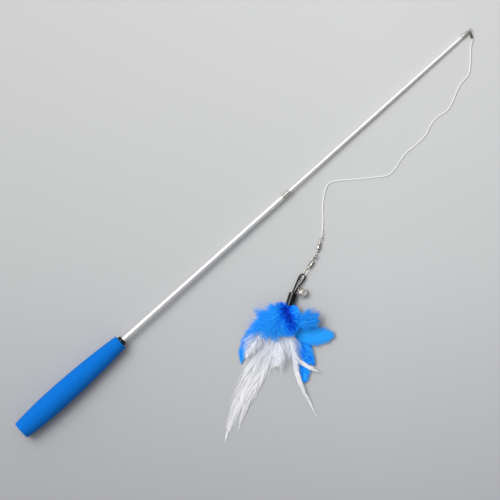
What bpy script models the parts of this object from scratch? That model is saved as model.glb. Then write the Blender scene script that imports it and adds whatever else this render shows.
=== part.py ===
"""Feather cat wand: a telescopic rod in a foam grip, and a string with a feather lure on a swivel snap.

The wand lies on a table, drawn out to its full length. +X runs along the rod from the butt to the tip, +Y is
on its left and +Z is up. Metres.
"""

import math

import bmesh
import bpy
from mathutils import Euler, Matrix, Vector

MM = 0.001
DEGREE = math.radians(1)

# Gaps: between pieces fixed to each other, between pieces that slide or turn, and at a stop
FIXED_GAP = 0.3 * MM
RUNNING_GAP = 0.1 * MM
STOP_GAP = 0.5 * MM

# Foam grip, with its belly nearer the butt
GRIP_LENGTH = 146 * MM
GRIP_BELLY_AT = 52 * MM
GRIP_BUTT_RADIUS = 10.0 * MM
GRIP_BELLY_RADIUS = 12.7 * MM
GRIP_FRONT_RADIUS = 8.2 * MM
GRIP_BORE_RADIUS = 4.9 * MM
GRIP_STATIONS = 7

# Core tube, plug and collar of the grip
PLUG_HEAD_LENGTH = 4 * MM
PLUG_SPIGOT_LENGTH = 8 * MM
PLUG_CHAMFER = 0.6 * MM
COLLAR_RADIUS = 5.5 * MM
COLLAR_LENGTH = 3.5 * MM
COLLAR_SPIGOT_LENGTH = 8 * MM
COLLAR_ROUNDING = 0.8 * MM

# Telescopic rod: the thick tube is bored for the thin one and the spring sleeve on its tail
THIN_TUBE_RADIUS = 1.8 * MM
THIN_TUBE_WALL = 0.35 * MM
SPRING_SLEEVE_WALL = 0.2 * MM
THICK_TUBE_BORE = THIN_TUBE_RADIUS + SPRING_SLEEVE_WALL + 2 * RUNNING_GAP
THICK_TUBE_WALL = 0.4 * MM
THICK_TUBE_RADIUS = THICK_TUBE_BORE + THICK_TUBE_WALL
THICK_TUBE_FRONT = 384 * MM
THIN_TUBE_SHOWN = 253 * MM
THIN_TUBE_TAIL = 1.5 * MM
NECK_LENGTH = 10.5 * MM
NECK_STANDS_PROUD = 0.2 * MM
NECK_RADIUS = THICK_TUBE_RADIUS + NECK_STANDS_PROUD
NECK_GROOVE_DEPTH = 0.45 * MM
NECK_RINGS = 7
NECK_SPIGOT_LENGTH = 6 * MM
SLEEVE_LENGTH = 14 * MM
STROKE = 250 * MM

# Ferrule on the tip, and its eye
FERRULE_LENGTH = 10.6 * MM
FERRULE_WALL = 0.25 * MM
FERRULE_RADIUS = THIN_TUBE_RADIUS + RUNNING_GAP + FERRULE_WALL
FERRULE_SOCKET = 8.5 * MM
FERRULE_CHAMFER = 0.4 * MM
TIP_EYE_RADIUS = 1.5 * MM
TIP_EYE_WIRE = 0.4 * MM

# Clip and knot at the tip, measured out from the eye's centre
CLIP_HEADING = 242.4 * DEGREE
CLIP_PITCH = 4 * DEGREE
CLIP_NOSE = 0.55 * MM
CLIP_NOSE_RADIUS = 1.2 * MM
CLIP_LENGTH = 6.6 * MM
CLIP_WIRE = 0.3 * MM
CRIMP_RADIUS = 1.3 * MM
CRIMP_LENGTH = 5.0 * MM
TIP_KNOT_RADIUS = 1.15 * MM

# String: its places across the table from the eye, and its height there
STRING_RADIUS = 0.6 * MM
STRING_POINTS = 80
STRING_LIES = STRING_RADIUS + 0.05 * MM
STRING_ROUTE = [
    (-10.3, -13.8, 0.9), (-17.2, -20.7, 0.65), (-24.0, -28.0, 0.65), (-32.3, -35.0, 0.65),
    (-40.6, -36.7, 0.65), (-47.2, -37.6, 0.65), (-55.5, -40.7, 0.65), (-64.1, -45.1, 0.65),
    (-76.5, -49.3, 0.65), (-89.3, -47.6, 0.65), (-100.2, -48.9, 0.65), (-112.8, -53.6, 0.65),
    (-126.2, -54.7, 0.65), (-140.7, -54.0, 0.65), (-151.9, -56.0, 0.65), (-163.5, -59.2, 0.65),
    (-174.0, -58.6, 0.65), (-184.0, -52.0, 0.65), (-195.7, -43.9, 0.65), (-206.9, -35.4, 0.65),
    (-217.0, -27.8, 0.65), (-224.5, -23.4, 0.65), (-232.0, -23.6, 0.65), (-241.5, -29.6, 0.65),
    (-249.9, -37.4, 0.65), (-258.7, -47.6, 0.65), (-266.0, -55.2, 1.2),
]

# Swivel, with its heading from the string to the snap
HARDWARE_HEIGHT = 2.75 * MM
TIE_HEADING = 219 * DEGREE
TIE_NOSE_RADIUS = 1.2 * MM
TIE_WIRE = 0.5 * MM
TIE_LENGTH = 5.4 * MM
SWIVEL_KNOT_RADIUS = 1.3 * MM
SWIVEL_HEADING = 210.8 * DEGREE
SWIVEL_LENGTH = 20.4 * MM
TOP_EYE_RADIUS = 1.5 * MM
BOTTOM_EYE_RADIUS = 1.9 * MM
EYE_WIRE = 0.35 * MM
BOTTOM_EYE_WIRE = 0.4 * MM
BARREL_START = 3.4 * MM
BARREL_LENGTH = 11.6 * MM
BARREL_RADIUS = 1.75 * MM
BARREL_NECK_RADIUS = 1.25 * MM
BARREL_WALL = 0.35 * MM
HEAD_RADIUS = 0.75 * MM
HEAD_LENGTH = 0.9 * MM

# Snap: wire bent round on itself, leaning over from upright
SNAP_HEADING = 194.4 * DEGREE
SNAP_LEAN = 35 * DEGREE
SNAP_RING_RADIUS = 1.6 * MM
SNAP_RING_AT = 2.6 * MM
SNAP_WIRE = 0.35 * MM
SNAP_HALF_WIDTH = 1.8 * MM
SNAP_BEND_AT = 29.6 * MM
CUFF_START = 5.5 * MM
CUFF_LENGTH = 9 * MM
CUFF_HALF_HEIGHT = 2.4 * MM
CUFF_HALF_WIDTH = 1.0 * MM
CUFF_WALL = 0.35 * MM

# Lure: cord loop, sleeve and binding
LOOP_FROM_SNAP_RING = 23 * MM
LOOP_HEADING = 198.8 * DEGREE
LOOP_LENGTH = 23.6 * MM
LOOP_WIRE = 0.75 * MM
LOOP_HALF_WIDTHS = [(1.2, 2.2), (3.5, 2.9), (8, 2.8), (13, 2.2), (18, 1.5), (22.5, 1.1)]
LOOP_END_OFFSET = 1.05 * MM
LURE_HEADING = 210.7 * DEGREE
SLEEVE_RADIUS = 4.65 * MM
SLEEVE_WALL = 0.5 * MM
SLEEVE_HEIGHT = SLEEVE_RADIUS + 0.05 * MM
LURE_SLEEVE_LENGTH = 14.3 * MM
LURE_SLEEVE_SHOWN = 12.3 * MM
LOOP_SUNK = 5.3 * MM
BINDING_LENGTH = 3.4 * MM
QUILL_SUNK = 2.9 * MM

# Feathers: a fan of vanes laid one on the next, each a lens across its shaft
QUILL_HALF_WIDTH = 0.5 * MM
QUILL_THICK = 0.4 * MM
QUILL_PITCH = 0.56 * MM
FAN_GAP = 0.3 * MM
FAN_START = 1 * MM
FAN_RADIUS = 20 * MM
VANE_EDGE = 0.45
VANE_STATIONS = 10
VANE_COLUMNS = 4

# Bell, hung by a ring on one strand of the loop
BELL_FROM_LOOP = 15.7 * MM
BELL_TURN = 69.9 * DEGREE
BELL_RADIUS = 5.0 * MM
BELL_WALL = 0.4 * MM
BELL_SEAM_BEAD = 0.35 * MM
BELL_SEAM_RADIUS = BELL_RADIUS + BELL_SEAM_BEAD
BELL_SEAM_HALF = 0.45 * MM
BELL_STANDS_OFF = 2.4 * MM
BELL_FROM_STRAND = BELL_RADIUS + BELL_STANDS_OFF
BELL_POLE_HOLE = 1.8 * MM
SLOT_HALF_WIDTH = 0.4 * MM
SLOT_REACH = 3.6 * MM
SLOT_END_RADIUS = 0.75 * MM
BELL_RING_RADIUS = 1.7 * MM
BELL_RING_WIRE = 0.35 * MM
BELL_RING_AT = 0.35 * MM
STAPLE_RADIUS = 1.2 * MM
STAPLE_WIRE = 0.3 * MM
STAPLE_FLARE = 2.0 * MM
STAPLE_DEPTH = 1.7 * MM
PELLET_RADIUS = 1.3 * MM

TUBE_SIDES = 20
GRIP_SIDES = 28
SMALL_SIDES = 12
CURVE_FINENESS = 12


def finish(name, colour, roughness, metallic=0.0):
    """A Principled material, made once for each name."""
    material = bpy.data.materials.get(name)
    if material is None:
        material = bpy.data.materials.new(name)
        material.use_nodes = True
        shader = material.node_tree.nodes["Principled BSDF"]
        shader.inputs["Base Color"].default_value = (*colour, 1.0)
        shader.inputs["Roughness"].default_value = roughness
        shader.inputs["Metallic"].default_value = metallic
        material.diffuse_color = (*colour, 1.0)
    return material


def blue_foam():
    return finish("blue_foam", (0.01, 0.16, 0.62), 0.9)


def black_plastic():
    return finish("black_plastic", (0.02, 0.02, 0.022), 0.35)


def silver_tube():
    return finish("silver_tube", (0.78, 0.79, 0.8), 0.28, 1.0)


def nickel():
    return finish("nickel", (0.62, 0.6, 0.57), 0.25, 1.0)


def dark_metal():
    return finish("dark_metal", (0.12, 0.115, 0.11), 0.35, 1.0)


def brass():
    return finish("brass", (0.7, 0.5, 0.2), 0.3, 1.0)


def white_cord():
    return finish("white_cord", (0.85, 0.85, 0.86), 0.5)


def black_cord():
    return finish("black_cord", (0.015, 0.015, 0.016), 0.5)


def glossy_sleeve():
    return finish("glossy_sleeve", (0.01, 0.01, 0.011), 0.15)


def thread():
    return finish("thread", (0.3, 0.28, 0.25), 0.7)


def blue_feather():
    return finish("blue_feather", (0.005, 0.19, 0.83), 0.8)


def white_feather():
    return finish("white_feather", (0.8, 0.8, 0.84), 0.8)


def frame(name, parent, at, heading=0.0, pitch=0.0, roll=0.0):
    """An empty at a place and turn given on the table. It hangs on its parent without moving."""
    empty = bpy.data.objects.new(name, None)
    empty.empty_display_size = 10 * MM
    bpy.context.collection.objects.link(empty)
    placed = Matrix.Translation(at) @ Euler((roll, pitch, heading)).to_matrix().to_4x4()
    if parent:
        empty.parent = parent
        placed = parent.matrix_world.inverted() @ placed
    empty.matrix_basis = placed
    bpy.context.view_layer.update()
    return empty


def ahead(start, heading, distance, left=0.0):
    """The point this far along a heading from another, and this far to its left, at the same height."""
    x = distance * math.cos(heading) - left * math.sin(heading)
    y = distance * math.sin(heading) + left * math.cos(heading)
    return Vector(start) + Vector((x, y, 0))


def at_height(point, height):
    return Vector((point[0], point[1], height))


def smooth_step(t):
    t = min(max(t, 0.0), 1.0)
    return t * t * (3 - 2 * t)


def mix(a, b, t):
    return a + (b - a) * t


def smooth_route(points, count):
    """Evenly spaced points on a Catmull-Rom curve through these."""
    points = [Vector(p) for p in points]
    knots = [2 * points[0] - points[1], *points, 2 * points[-1] - points[-2]]
    fine = []
    for a, b, c, d in zip(knots, knots[1:], knots[2:], knots[3:]):
        for step in range(CURVE_FINENESS):
            t = step / CURVE_FINENESS
            bend = (2 * a - 5 * b + 4 * c - d) * t * t + (3 * b - a - 3 * c + d) * t * t * t
            fine.append(b + ((c - a) * t + bend) / 2)
    fine.append(points[-1])
    reach = [0.0]
    for a, b in zip(fine, fine[1:]):
        reach.append(reach[-1] + (b - a).length)
    even, k = [], 0
    for i in range(count):
        wanted = reach[-1] * i / (count - 1)
        while k < len(fine) - 2 and reach[k + 1] < wanted:
            k += 1
        even.append(fine[k].lerp(fine[k + 1], (wanted - reach[k]) / (reach[k + 1] - reach[k])))
    return even


def piece(name, bm, material, parent):
    """A mesh object from a closed bmesh, shaded smooth, in its parent's frame."""
    bmesh.ops.remove_doubles(bm, verts=bm.verts, dist=1e-7)
    bmesh.ops.recalc_face_normals(bm, faces=bm.faces)
    mesh = bpy.data.meshes.new(name)
    bm.to_mesh(mesh)
    bm.free()
    mesh.shade_smooth()
    mesh.set_sharp_from_angle(angle=math.radians(35))
    mesh.materials.append(material)
    obj = bpy.data.objects.new(name, mesh)
    bpy.context.collection.objects.link(obj)
    obj.parent = parent
    return obj


def spin_section(section, closed, axis, sides):
    bm = bmesh.new()
    verts = [bm.verts.new(point) for point in section]
    edges = [bm.edges.new(pair) for pair in zip(verts, verts[1:])]
    if closed:
        edges.append(bm.edges.new((verts[-1], verts[0])))
    bmesh.ops.spin(
        bm, geom=verts + edges, cent=(0, 0, 0), axis=axis, angle=math.tau, steps=sides, use_merge=True
    )
    return bm


def turned(name, section, material, parent, sides=TUBE_SIDES):
    """A piece turned about X, from (x, radius) points. One that starts and ends on the axis is solid."""
    closed = section[0][1] > 0
    bm = spin_section([(x, 0, radius) for x, radius in section], closed, (1, 0, 0), sides)
    return piece(name, bm, material, parent)


def tube(start, end, radius, bore):
    return [(start, bore), (start, radius), (end, radius), (end, bore)]


def ball(name, centre_x, radius, material, parent):
    steps = 6
    arc = [math.pi * k / steps for k in range(steps + 1)]
    section = [(centre_x - radius * math.cos(a), radius * math.sin(a)) for a in arc]
    section[-1] = (section[-1][0], 0.0)
    return turned(name, section, material, parent, SMALL_SIDES)


def ring(name, centre_x, radius, wire, material, parent, upright=False):
    """A wire ring in its frame's XY plane, or its XZ plane if upright, with its centre on X."""
    sides, steps = 8, 20
    around = [math.tau * k / sides for k in range(sides)]
    flat = [(radius + wire * math.cos(a), wire * math.sin(a)) for a in around]
    if upright:
        bm = spin_section([(r, t, 0) for r, t in flat], True, (0, 1, 0), steps)
    else:
        bm = spin_section([(r, 0, t) for r, t in flat], True, (0, 0, 1), steps)
    bmesh.ops.translate(bm, verts=bm.verts, vec=(centre_x, 0, 0))
    return piece(name, bm, material, parent)


def wire(name, points, radius, material, parent, cyclic=False):
    """A round wire or cord along these points, with filled ends."""
    curve = bpy.data.curves.new(name, "CURVE")
    curve.dimensions = "3D"
    curve.bevel_depth = radius
    curve.bevel_resolution = 2
    curve.use_fill_caps = True
    spline = curve.splines.new("POLY")
    spline.points.add(len(points) - 1)
    for place, point in zip(spline.points, points):
        place.co = (*point, 1.0)
    spline.use_cyclic_u = cyclic
    curve.materials.append(material)
    obj = bpy.data.objects.new(name, curve)
    bpy.context.collection.objects.link(obj)
    obj.parent = parent
    return obj


def combine(obj, tool, operation):
    """Adds a Boolean with a helper object, which is kept out of the render."""
    tool.hide_render = True
    tool.display_type = "WIRE"
    modifier = obj.modifiers.new(tool.name, "BOOLEAN")
    modifier.operation = operation
    modifier.object = tool


def teardrop(nose, nose_radius, waist, end, half_gap):
    """A closed loop in the XZ plane: round at its nose, its two strands side by side from waist to end."""
    turns = [math.pi * (0.5 + k / 8) for k in range(9)]
    centre = nose + nose_radius
    loop = [(centre + nose_radius * math.cos(a), 0, nose_radius * math.sin(a)) for a in turns]
    close_at = end - half_gap
    loop += [(waist, 0, -half_gap), (close_at, 0, -half_gap), (end, 0, 0)]
    return loop + [(close_at, 0, half_gap), (waist, 0, half_gap)]


def grip_radius(x):
    """The foam's outer radius, falling by a parabola from the belly to each end."""
    if x < GRIP_BELLY_AT:
        end, run = GRIP_BUTT_RADIUS, GRIP_BELLY_AT
    else:
        end, run = GRIP_FRONT_RADIUS, GRIP_LENGTH - GRIP_BELLY_AT
    return GRIP_BELLY_RADIUS - (GRIP_BELLY_RADIUS - end) * ((x - GRIP_BELLY_AT) / run) ** 2


def grip_stations():
    before = [GRIP_BELLY_AT * k / GRIP_STATIONS for k in range(GRIP_STATIONS)]
    beyond = GRIP_LENGTH - GRIP_BELLY_AT
    return before + [GRIP_BELLY_AT + beyond * k / GRIP_STATIONS for k in range(GRIP_STATIONS + 1)]


def make_grip(wand):
    outside = [(x, grip_radius(x)) for x in grip_stations()]
    section = [(0, GRIP_BORE_RADIUS), *outside, (GRIP_LENGTH, GRIP_BORE_RADIUS)]
    turned("foam_grip", section, blue_foam(), wand, GRIP_SIDES)


def make_grip_fittings(wand):
    """The core tube in the foam, the plug in its butt and the collar at its front."""
    outside = GRIP_BORE_RADIUS - FIXED_GAP
    bore = THICK_TUBE_RADIUS + FIXED_GAP
    core_start = PLUG_HEAD_LENGTH + FIXED_GAP
    spigot_start = GRIP_LENGTH - COLLAR_SPIGOT_LENGTH
    turned("grip_core", tube(core_start, spigot_start - FIXED_GAP, outside, bore), black_plastic(), wand)

    spigot_end = core_start + PLUG_SPIGOT_LENGTH
    spigot = bore - FIXED_GAP
    plug = [
        (0, 0), (0, outside - PLUG_CHAMFER), (PLUG_CHAMFER, outside), (PLUG_HEAD_LENGTH, outside),
        (PLUG_HEAD_LENGTH, spigot), (spigot_end, spigot), (spigot_end, 0),
    ]
    turned("butt_plug", plug, black_plastic(), wand)

    seat = GRIP_LENGTH + FIXED_GAP
    front = seat + COLLAR_LENGTH
    rounding = [
        (front - COLLAR_ROUNDING, COLLAR_RADIUS),
        (front - COLLAR_ROUNDING / 4, COLLAR_RADIUS - COLLAR_ROUNDING / 2),
        (front, COLLAR_RADIUS - COLLAR_ROUNDING),
    ]
    spigot = [(spigot_start, bore), (spigot_start, outside), (seat, outside)]
    collar = [*spigot, (seat, COLLAR_RADIUS), *rounding, (front, bore)]
    turned("front_collar", collar, black_plastic(), wand)
    return spigot_end + FIXED_GAP


def make_thick_tube(wand, start):
    """The outer tube, and the ringed neck in its front end."""
    section = tube(start, THICK_TUBE_FRONT, THICK_TUBE_RADIUS, THICK_TUBE_BORE)
    turned("outer_tube", section, silver_tube(), wand)

    seat = THICK_TUBE_FRONT + FIXED_GAP
    inner = THIN_TUBE_RADIUS + RUNNING_GAP
    spigot_start = seat - NECK_SPIGOT_LENGTH
    pitch = NECK_LENGTH / NECK_RINGS
    groove = NECK_RADIUS - NECK_GROOVE_DEPTH
    rings = []
    for k in range(NECK_RINGS):
        x = seat + k * pitch
        rings += [(x, groove), (x + pitch * 0.25, NECK_RADIUS), (x + pitch * 0.75, NECK_RADIUS)]
    front = seat + NECK_LENGTH
    pressed = THICK_TUBE_BORE - RUNNING_GAP
    spigot = [(spigot_start, inner), (spigot_start, pressed), (seat, pressed)]
    turned("neck_collar", [*spigot, *rings, (front, groove), (front, inner)], nickel(), wand)
    return spigot_start


def make_thin_tube(rod, stop):
    """The inner tube with the spring sleeve on its tail, held back by the neck."""
    neck_front = THICK_TUBE_FRONT + FIXED_GAP + NECK_LENGTH
    ferrule_back = neck_front + THIN_TUBE_SHOWN
    front = ferrule_back + FERRULE_SOCKET - FIXED_GAP
    sleeve_front = stop - STOP_GAP
    sleeve_back = sleeve_front - SLEEVE_LENGTH
    tail = sleeve_back - THIN_TUBE_TAIL
    bore = THIN_TUBE_RADIUS - THIN_TUBE_WALL
    turned("inner_tube", tube(tail, front, THIN_TUBE_RADIUS, bore), silver_tube(), rod)
    sleeve = tube(sleeve_back, sleeve_front, THICK_TUBE_BORE - RUNNING_GAP, THIN_TUBE_RADIUS + RUNNING_GAP)
    turned("friction_sleeve", sleeve, brass(), rod)
    return ferrule_back


def ferrule_front():
    return THICK_TUBE_FRONT + FIXED_GAP + NECK_LENGTH + THIN_TUBE_SHOWN + FERRULE_LENGTH


def eye_from_butt():
    return ferrule_front() + TIP_EYE_RADIUS + TIP_EYE_WIRE


def make_tip(rod, ferrule_back):
    """The ferrule, and the wire eye that is riveted in its front wall."""
    front = ferrule_back + FERRULE_LENGTH
    socket = THIN_TUBE_RADIUS + RUNNING_GAP
    hole = TIP_EYE_WIRE + RUNNING_GAP
    wall = ferrule_back + FERRULE_SOCKET
    section = [
        (ferrule_back, socket), (ferrule_back, FERRULE_RADIUS), (front - FERRULE_CHAMFER, FERRULE_RADIUS),
        (front, FERRULE_RADIUS - FERRULE_CHAMFER), (front, hole), (wall, hole), (wall, socket),
    ]
    turned("tip_ferrule", section, nickel(), rod)

    centre = eye_from_butt()
    eye = ring("tip_eye", centre, TIP_EYE_RADIUS, TIP_EYE_WIRE, nickel(), rod)
    head = wall - FIXED_GAP
    shank = [
        (head - HEAD_LENGTH, 0), (head - HEAD_LENGTH, HEAD_RADIUS), (head, HEAD_RADIUS),
        (head, TIP_EYE_WIRE), (centre - TIP_EYE_RADIUS, TIP_EYE_WIRE), (centre - TIP_EYE_RADIUS, 0),
    ]
    combine(eye, turned("tip_eye_shank", shank, nickel(), rod, SMALL_SIDES), "UNION")


def make_clip(clip):
    """The wire loop on the tip's eye, the crimp on its end and the knot below."""
    crimp_start = CLIP_LENGTH - CRIMP_LENGTH / 2
    crimp_end = crimp_start + CRIMP_LENGTH
    half_gap = CLIP_WIRE + RUNNING_GAP
    loop = teardrop(CLIP_NOSE, CLIP_NOSE_RADIUS, crimp_start - RUNNING_GAP, CLIP_LENGTH, half_gap)
    wire("clip_loop", loop, CLIP_WIRE, dark_metal(), clip, cyclic=True)
    bore = CRIMP_RADIUS * 0.65
    rim = CRIMP_RADIUS * 0.8
    middle = [(crimp_start, rim), (crimp_start + CRIMP_LENGTH / 4, CRIMP_RADIUS)]
    middle += [(crimp_end - CRIMP_LENGTH / 4, CRIMP_RADIUS), (crimp_end, rim)]
    turned("clip_crimp", [(crimp_start, bore), *middle, (crimp_end, bore)], dark_metal(), clip, SMALL_SIDES)
    ball("tip_knot", crimp_end + FIXED_GAP + TIP_KNOT_RADIUS, TIP_KNOT_RADIUS, white_cord(), clip)
    return crimp_end + 2 * (FIXED_GAP + TIP_KNOT_RADIUS)


def make_string(swing, start, swivel_gap):
    """The string across the table from the knot at the tip. It returns where the string ends."""
    eye_at = swing.matrix_world.translation
    route = [start - eye_at]
    route += [Vector((x * MM, y * MM, height * MM - eye_at.z)) for x, y, height in STRING_ROUTE]
    end = ahead(route[-1], TIE_HEADING, swivel_gap)
    end.z = HARDWARE_HEIGHT - eye_at.z
    wire("string", smooth_route([*route, end], STRING_POINTS), STRING_RADIUS, white_cord(), swing)
    return end + eye_at


def make_swivel_tie(tie):
    """The string's last turn through the swivel's eye, and the knot behind it."""
    nose = TOP_EYE_RADIUS - EYE_WIRE - TIE_WIRE - FIXED_GAP / 2
    nose -= TIE_NOSE_RADIUS * 0.25
    waist = nose + 3 * TIE_NOSE_RADIUS
    loop = teardrop(nose, TIE_NOSE_RADIUS, waist, TIE_LENGTH - SWIVEL_KNOT_RADIUS, TIE_WIRE + RUNNING_GAP)
    wire("swivel_tie", loop, TIE_WIRE, white_cord(), tie, cyclic=True)
    ball("swivel_knot", TIE_LENGTH + 2 * FIXED_GAP, SWIVEL_KNOT_RADIUS, white_cord(), tie)


def make_swivel_eye(name, centre_x, radius, gauge, toward, barrel_end, parent):
    """A wire eye whose shank runs into the barrel, where its head holds it. toward is +1 or -1 along X."""
    eye = ring(name, centre_x, radius, gauge, nickel(), parent)
    start = centre_x + toward * radius
    inside = barrel_end + toward * (BARREL_WALL + RUNNING_GAP * 2)
    head = inside + toward * HEAD_LENGTH
    shank = [(start, 0), (start, gauge), (inside, gauge)]
    shank += [(inside, HEAD_RADIUS), (head, HEAD_RADIUS), (head, 0)]
    combine(eye, turned(name + "_shank", shank, nickel(), parent, SMALL_SIDES), "UNION")


def make_barrel(parent):
    """The swivel's barrel: a hollow turned body, drawn in over the heads of the two eyes."""
    end = BARREL_START + BARREL_LENGTH
    third = BARREL_LENGTH / 3
    hole = BOTTOM_EYE_WIRE + RUNNING_GAP
    cavity = HEAD_RADIUS + RUNNING_GAP * 1.5
    section = [
        (BARREL_START, hole), (BARREL_START, BARREL_NECK_RADIUS * 0.8),
        (BARREL_START + BARREL_WALL, BARREL_NECK_RADIUS), (BARREL_START + third * 0.8, BARREL_NECK_RADIUS),
        (BARREL_START + third, BARREL_RADIUS), (end - third, BARREL_RADIUS),
        (end - third * 0.8, BARREL_NECK_RADIUS), (end - BARREL_WALL, BARREL_NECK_RADIUS),
        (end, BARREL_NECK_RADIUS * 0.8), (end, hole),
        (end - BARREL_WALL, hole), (end - BARREL_WALL, cavity),
        (BARREL_START + BARREL_WALL, cavity), (BARREL_START + BARREL_WALL, hole),
    ]
    turned("swivel_barrel", section, nickel(), parent)


def make_snap(snap, gate):
    """The snap's wire from its ring to its bend, the cuff on it, and the sprung leg past the bend."""
    ring_turns = [math.radians(-30 - 360 + 300 * k / 20) for k in range(21)]
    centre, radius = SNAP_RING_AT, SNAP_RING_RADIUS
    route = [(centre + radius * math.cos(a), 0, radius * math.sin(a)) for a in ring_turns]
    cuff_end = CUFF_START + CUFF_LENGTH
    route += [(CUFF_START, 0, -radius), ((CUFF_START + cuff_end) / 2, 0, -radius), (cuff_end, 0, -radius)]
    for k in range(1, 4):
        route.append((mix(cuff_end, SNAP_BEND_AT, k / 4), 0, -mix(radius, SNAP_HALF_WIDTH, k / 4)))
    bend_turns = [math.radians(-90 + 180 * k / 10) for k in range(11)]
    route += [
        (SNAP_BEND_AT + SNAP_HALF_WIDTH * math.cos(a), 0, SNAP_HALF_WIDTH * math.sin(a)) for a in bend_turns
    ]
    wire("snap_wire", route, SNAP_WIRE, nickel(), snap)

    free_end = cuff_end + FIXED_GAP - SNAP_BEND_AT
    leg = [(-FIXED_GAP, 0, 0), (free_end / 2, 0, 0.3 * MM), (free_end, 0, 0)]
    wire("snap_gate", smooth_route(leg, 8), SNAP_WIRE, nickel(), gate)

    make_cuff(snap)


def make_cuff(snap):
    """A flattened tube of sheet metal round the fixed leg, open at both ends."""
    corner = CUFF_HALF_WIDTH * 0.6

    def outline(half_width, half_height, cut):
        quarter = [(half_width, half_height - cut), (half_width - cut, half_height)]
        points = quarter + [(-w, h) for w, h in reversed(quarter)]
        return points + [(-w, -h) for w, h in points]

    bm = bmesh.new()
    rings = []
    inner_width, inner_height = CUFF_HALF_WIDTH - CUFF_WALL, CUFF_HALF_HEIGHT - CUFF_WALL
    outer = outline(CUFF_HALF_WIDTH, CUFF_HALF_HEIGHT, corner)
    inner = outline(inner_width, inner_height, corner - CUFF_WALL / 2)
    ends = CUFF_START, CUFF_START + CUFF_LENGTH
    for x, shape in ((ends[0], inner), (ends[0], outer), (ends[1], outer), (ends[1], inner)):
        rings.append([bm.verts.new((x, w, h)) for w, h in shape])
    for first, second in zip(rings, rings[1:] + rings[:1]):
        for k in range(len(first)):
            bm.faces.new((first[k - 1], first[k], second[k], second[k - 1]))
    piece("snap_cuff", bm, nickel(), snap)


def loop_height(x):
    """The cord's height above the snap's middle, as it climbs to the sleeve's."""
    return (SLEEVE_HEIGHT - HARDWARE_HEIGHT) * smooth_step(x / LOOP_LENGTH)


def loop_strand(side):
    """One strand in the loop's frame, from the snap into the sleeve."""
    strand = [(x * MM, side * half * MM, loop_height(x * MM)) for x, half in LOOP_HALF_WIDTHS]
    into = LURE_HEADING - LOOP_HEADING
    mouth = Vector((LOOP_LENGTH, 0, SLEEVE_HEIGHT - HARDWARE_HEIGHT))
    for depth in (0.25, 1.0):
        strand.append(ahead(mouth, into, depth * LOOP_SUNK, side * LOOP_END_OFFSET))
    return [Vector(point) for point in strand]


def loop_route():
    far = loop_strand(-1)
    return smooth_route([*reversed(far), Vector((0, 0, 0)), *loop_strand(1)], 44)


def strand_at(x, side):
    """A point of the loop's route beside this x, and the cord's direction there."""
    route = [point for point in loop_route() if point.y * side > 0 or point.x > LOOP_LENGTH]
    nearest = min(range(1, len(route) - 1), key=lambda k: abs(route[k].x - x) + (route[k].y * side < 0))
    return route[nearest], (route[nearest + 1] - route[nearest - 1]).normalized()


def make_lure_holder(loop, lure):
    """The cord loop, the sleeve that it is glued in, and the plug of thread between cord and quills."""
    wire("lure_loop", loop_route(), LOOP_WIRE, black_cord(), loop)
    bore = SLEEVE_RADIUS - SLEEVE_WALL
    start = -LURE_SLEEVE_SHOWN
    section = tube(start, start + LURE_SLEEVE_LENGTH, SLEEVE_RADIUS, bore)
    turned("lure_sleeve", section, glossy_sleeve(), lure)
    binding_end = -QUILL_SUNK - FIXED_GAP
    plug = [(binding_end - BINDING_LENGTH, 0), (binding_end - BINDING_LENGTH, bore - FIXED_GAP)]
    plug += [(binding_end, bore - FIXED_GAP), (binding_end, 0)]
    turned("quill_binding", plug, thread(), lure)


# Feathers from the bottom of the fan up: name, finish, route in mm from the sleeve's end, half width and
# thickness in mm, where along it is widest, and how sharp its tip is
FEATHERS = [
    ("white_hackle_long", white_feather, [(60, -13), (100, -20), (140, -23), (166, -22)], 7, 0.5, 0.4, 1),
    ("white_hackle_second", white_feather, [(60, -4), (100, -9), (130, -12), (148, -12)], 6.5, 0.5, 0.4, 1),
    ("blue_feather_left", blue_feather, [(20, -17), (40, -30), (62, -35), (80, -31)], 8, 0.5, 0.55, 0.8),
    ("blue_feather_lower", blue_feather, [(22, 8), (45, 24), (62, 34), (78, 41)], 7.5, 0.5, 0.65, 0.45),
    ("blue_feather_lower_right", blue_feather, [(20, 9), (37, 25), (49, 37), (57, 46)], 6, 0.5, 0.6, 0.7),
    ("blue_feather_right", blue_feather, [(14, 7), (25, 20), (25, 38), (18, 56)], 11, 0.5, 0.62, 0.55),
    ("white_hackle_thin", white_feather, [(32, 9), (56, 23), (78, 36), (109, 65)], 3.2, 0.5, 0.4, 0.9),
    ("white_feather_small", white_feather, [(34, 11), (52, 21), (59, 36), (62, 53)], 2.8, 0.5, 0.7, 0.7),
    ("white_fluff_left", white_feather, [(20, -11), (40, -20), (56, -26), (72, -28)], 11, 0.9, 0.55, 0.6),
    ("white_fluff_middle", white_feather, [(18, -2), (36, -1), (52, 3), (70, 7)], 13, 0.9, 0.5, 0.6),
    ("white_fluff_right", white_feather, [(15, 3), (30, 7), (45, 15), (62, 28)], 7, 0.9, 0.5, 0.8),
    ("marabou_left", blue_feather, [(9, -5), (18, -12), (28, -21), (36, -32)], 10.5, 1.8, 0.6, 0.5),
    ("marabou_right", blue_feather, [(8, 5), (13, 13), (12, 23), (6, 34)], 7.5, 1.8, 0.6, 0.5),
    ("marabou_top", blue_feather, [(10, -3), (20, -6), (31, -9), (43, -12)], 19, 2.6, 0.6, 0.45),
]
# How far out, in mm, a feather begins to droop to the table
DROOPS = {"white_hackle_second": 88, "white_hackle_thin": 84}


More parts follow.
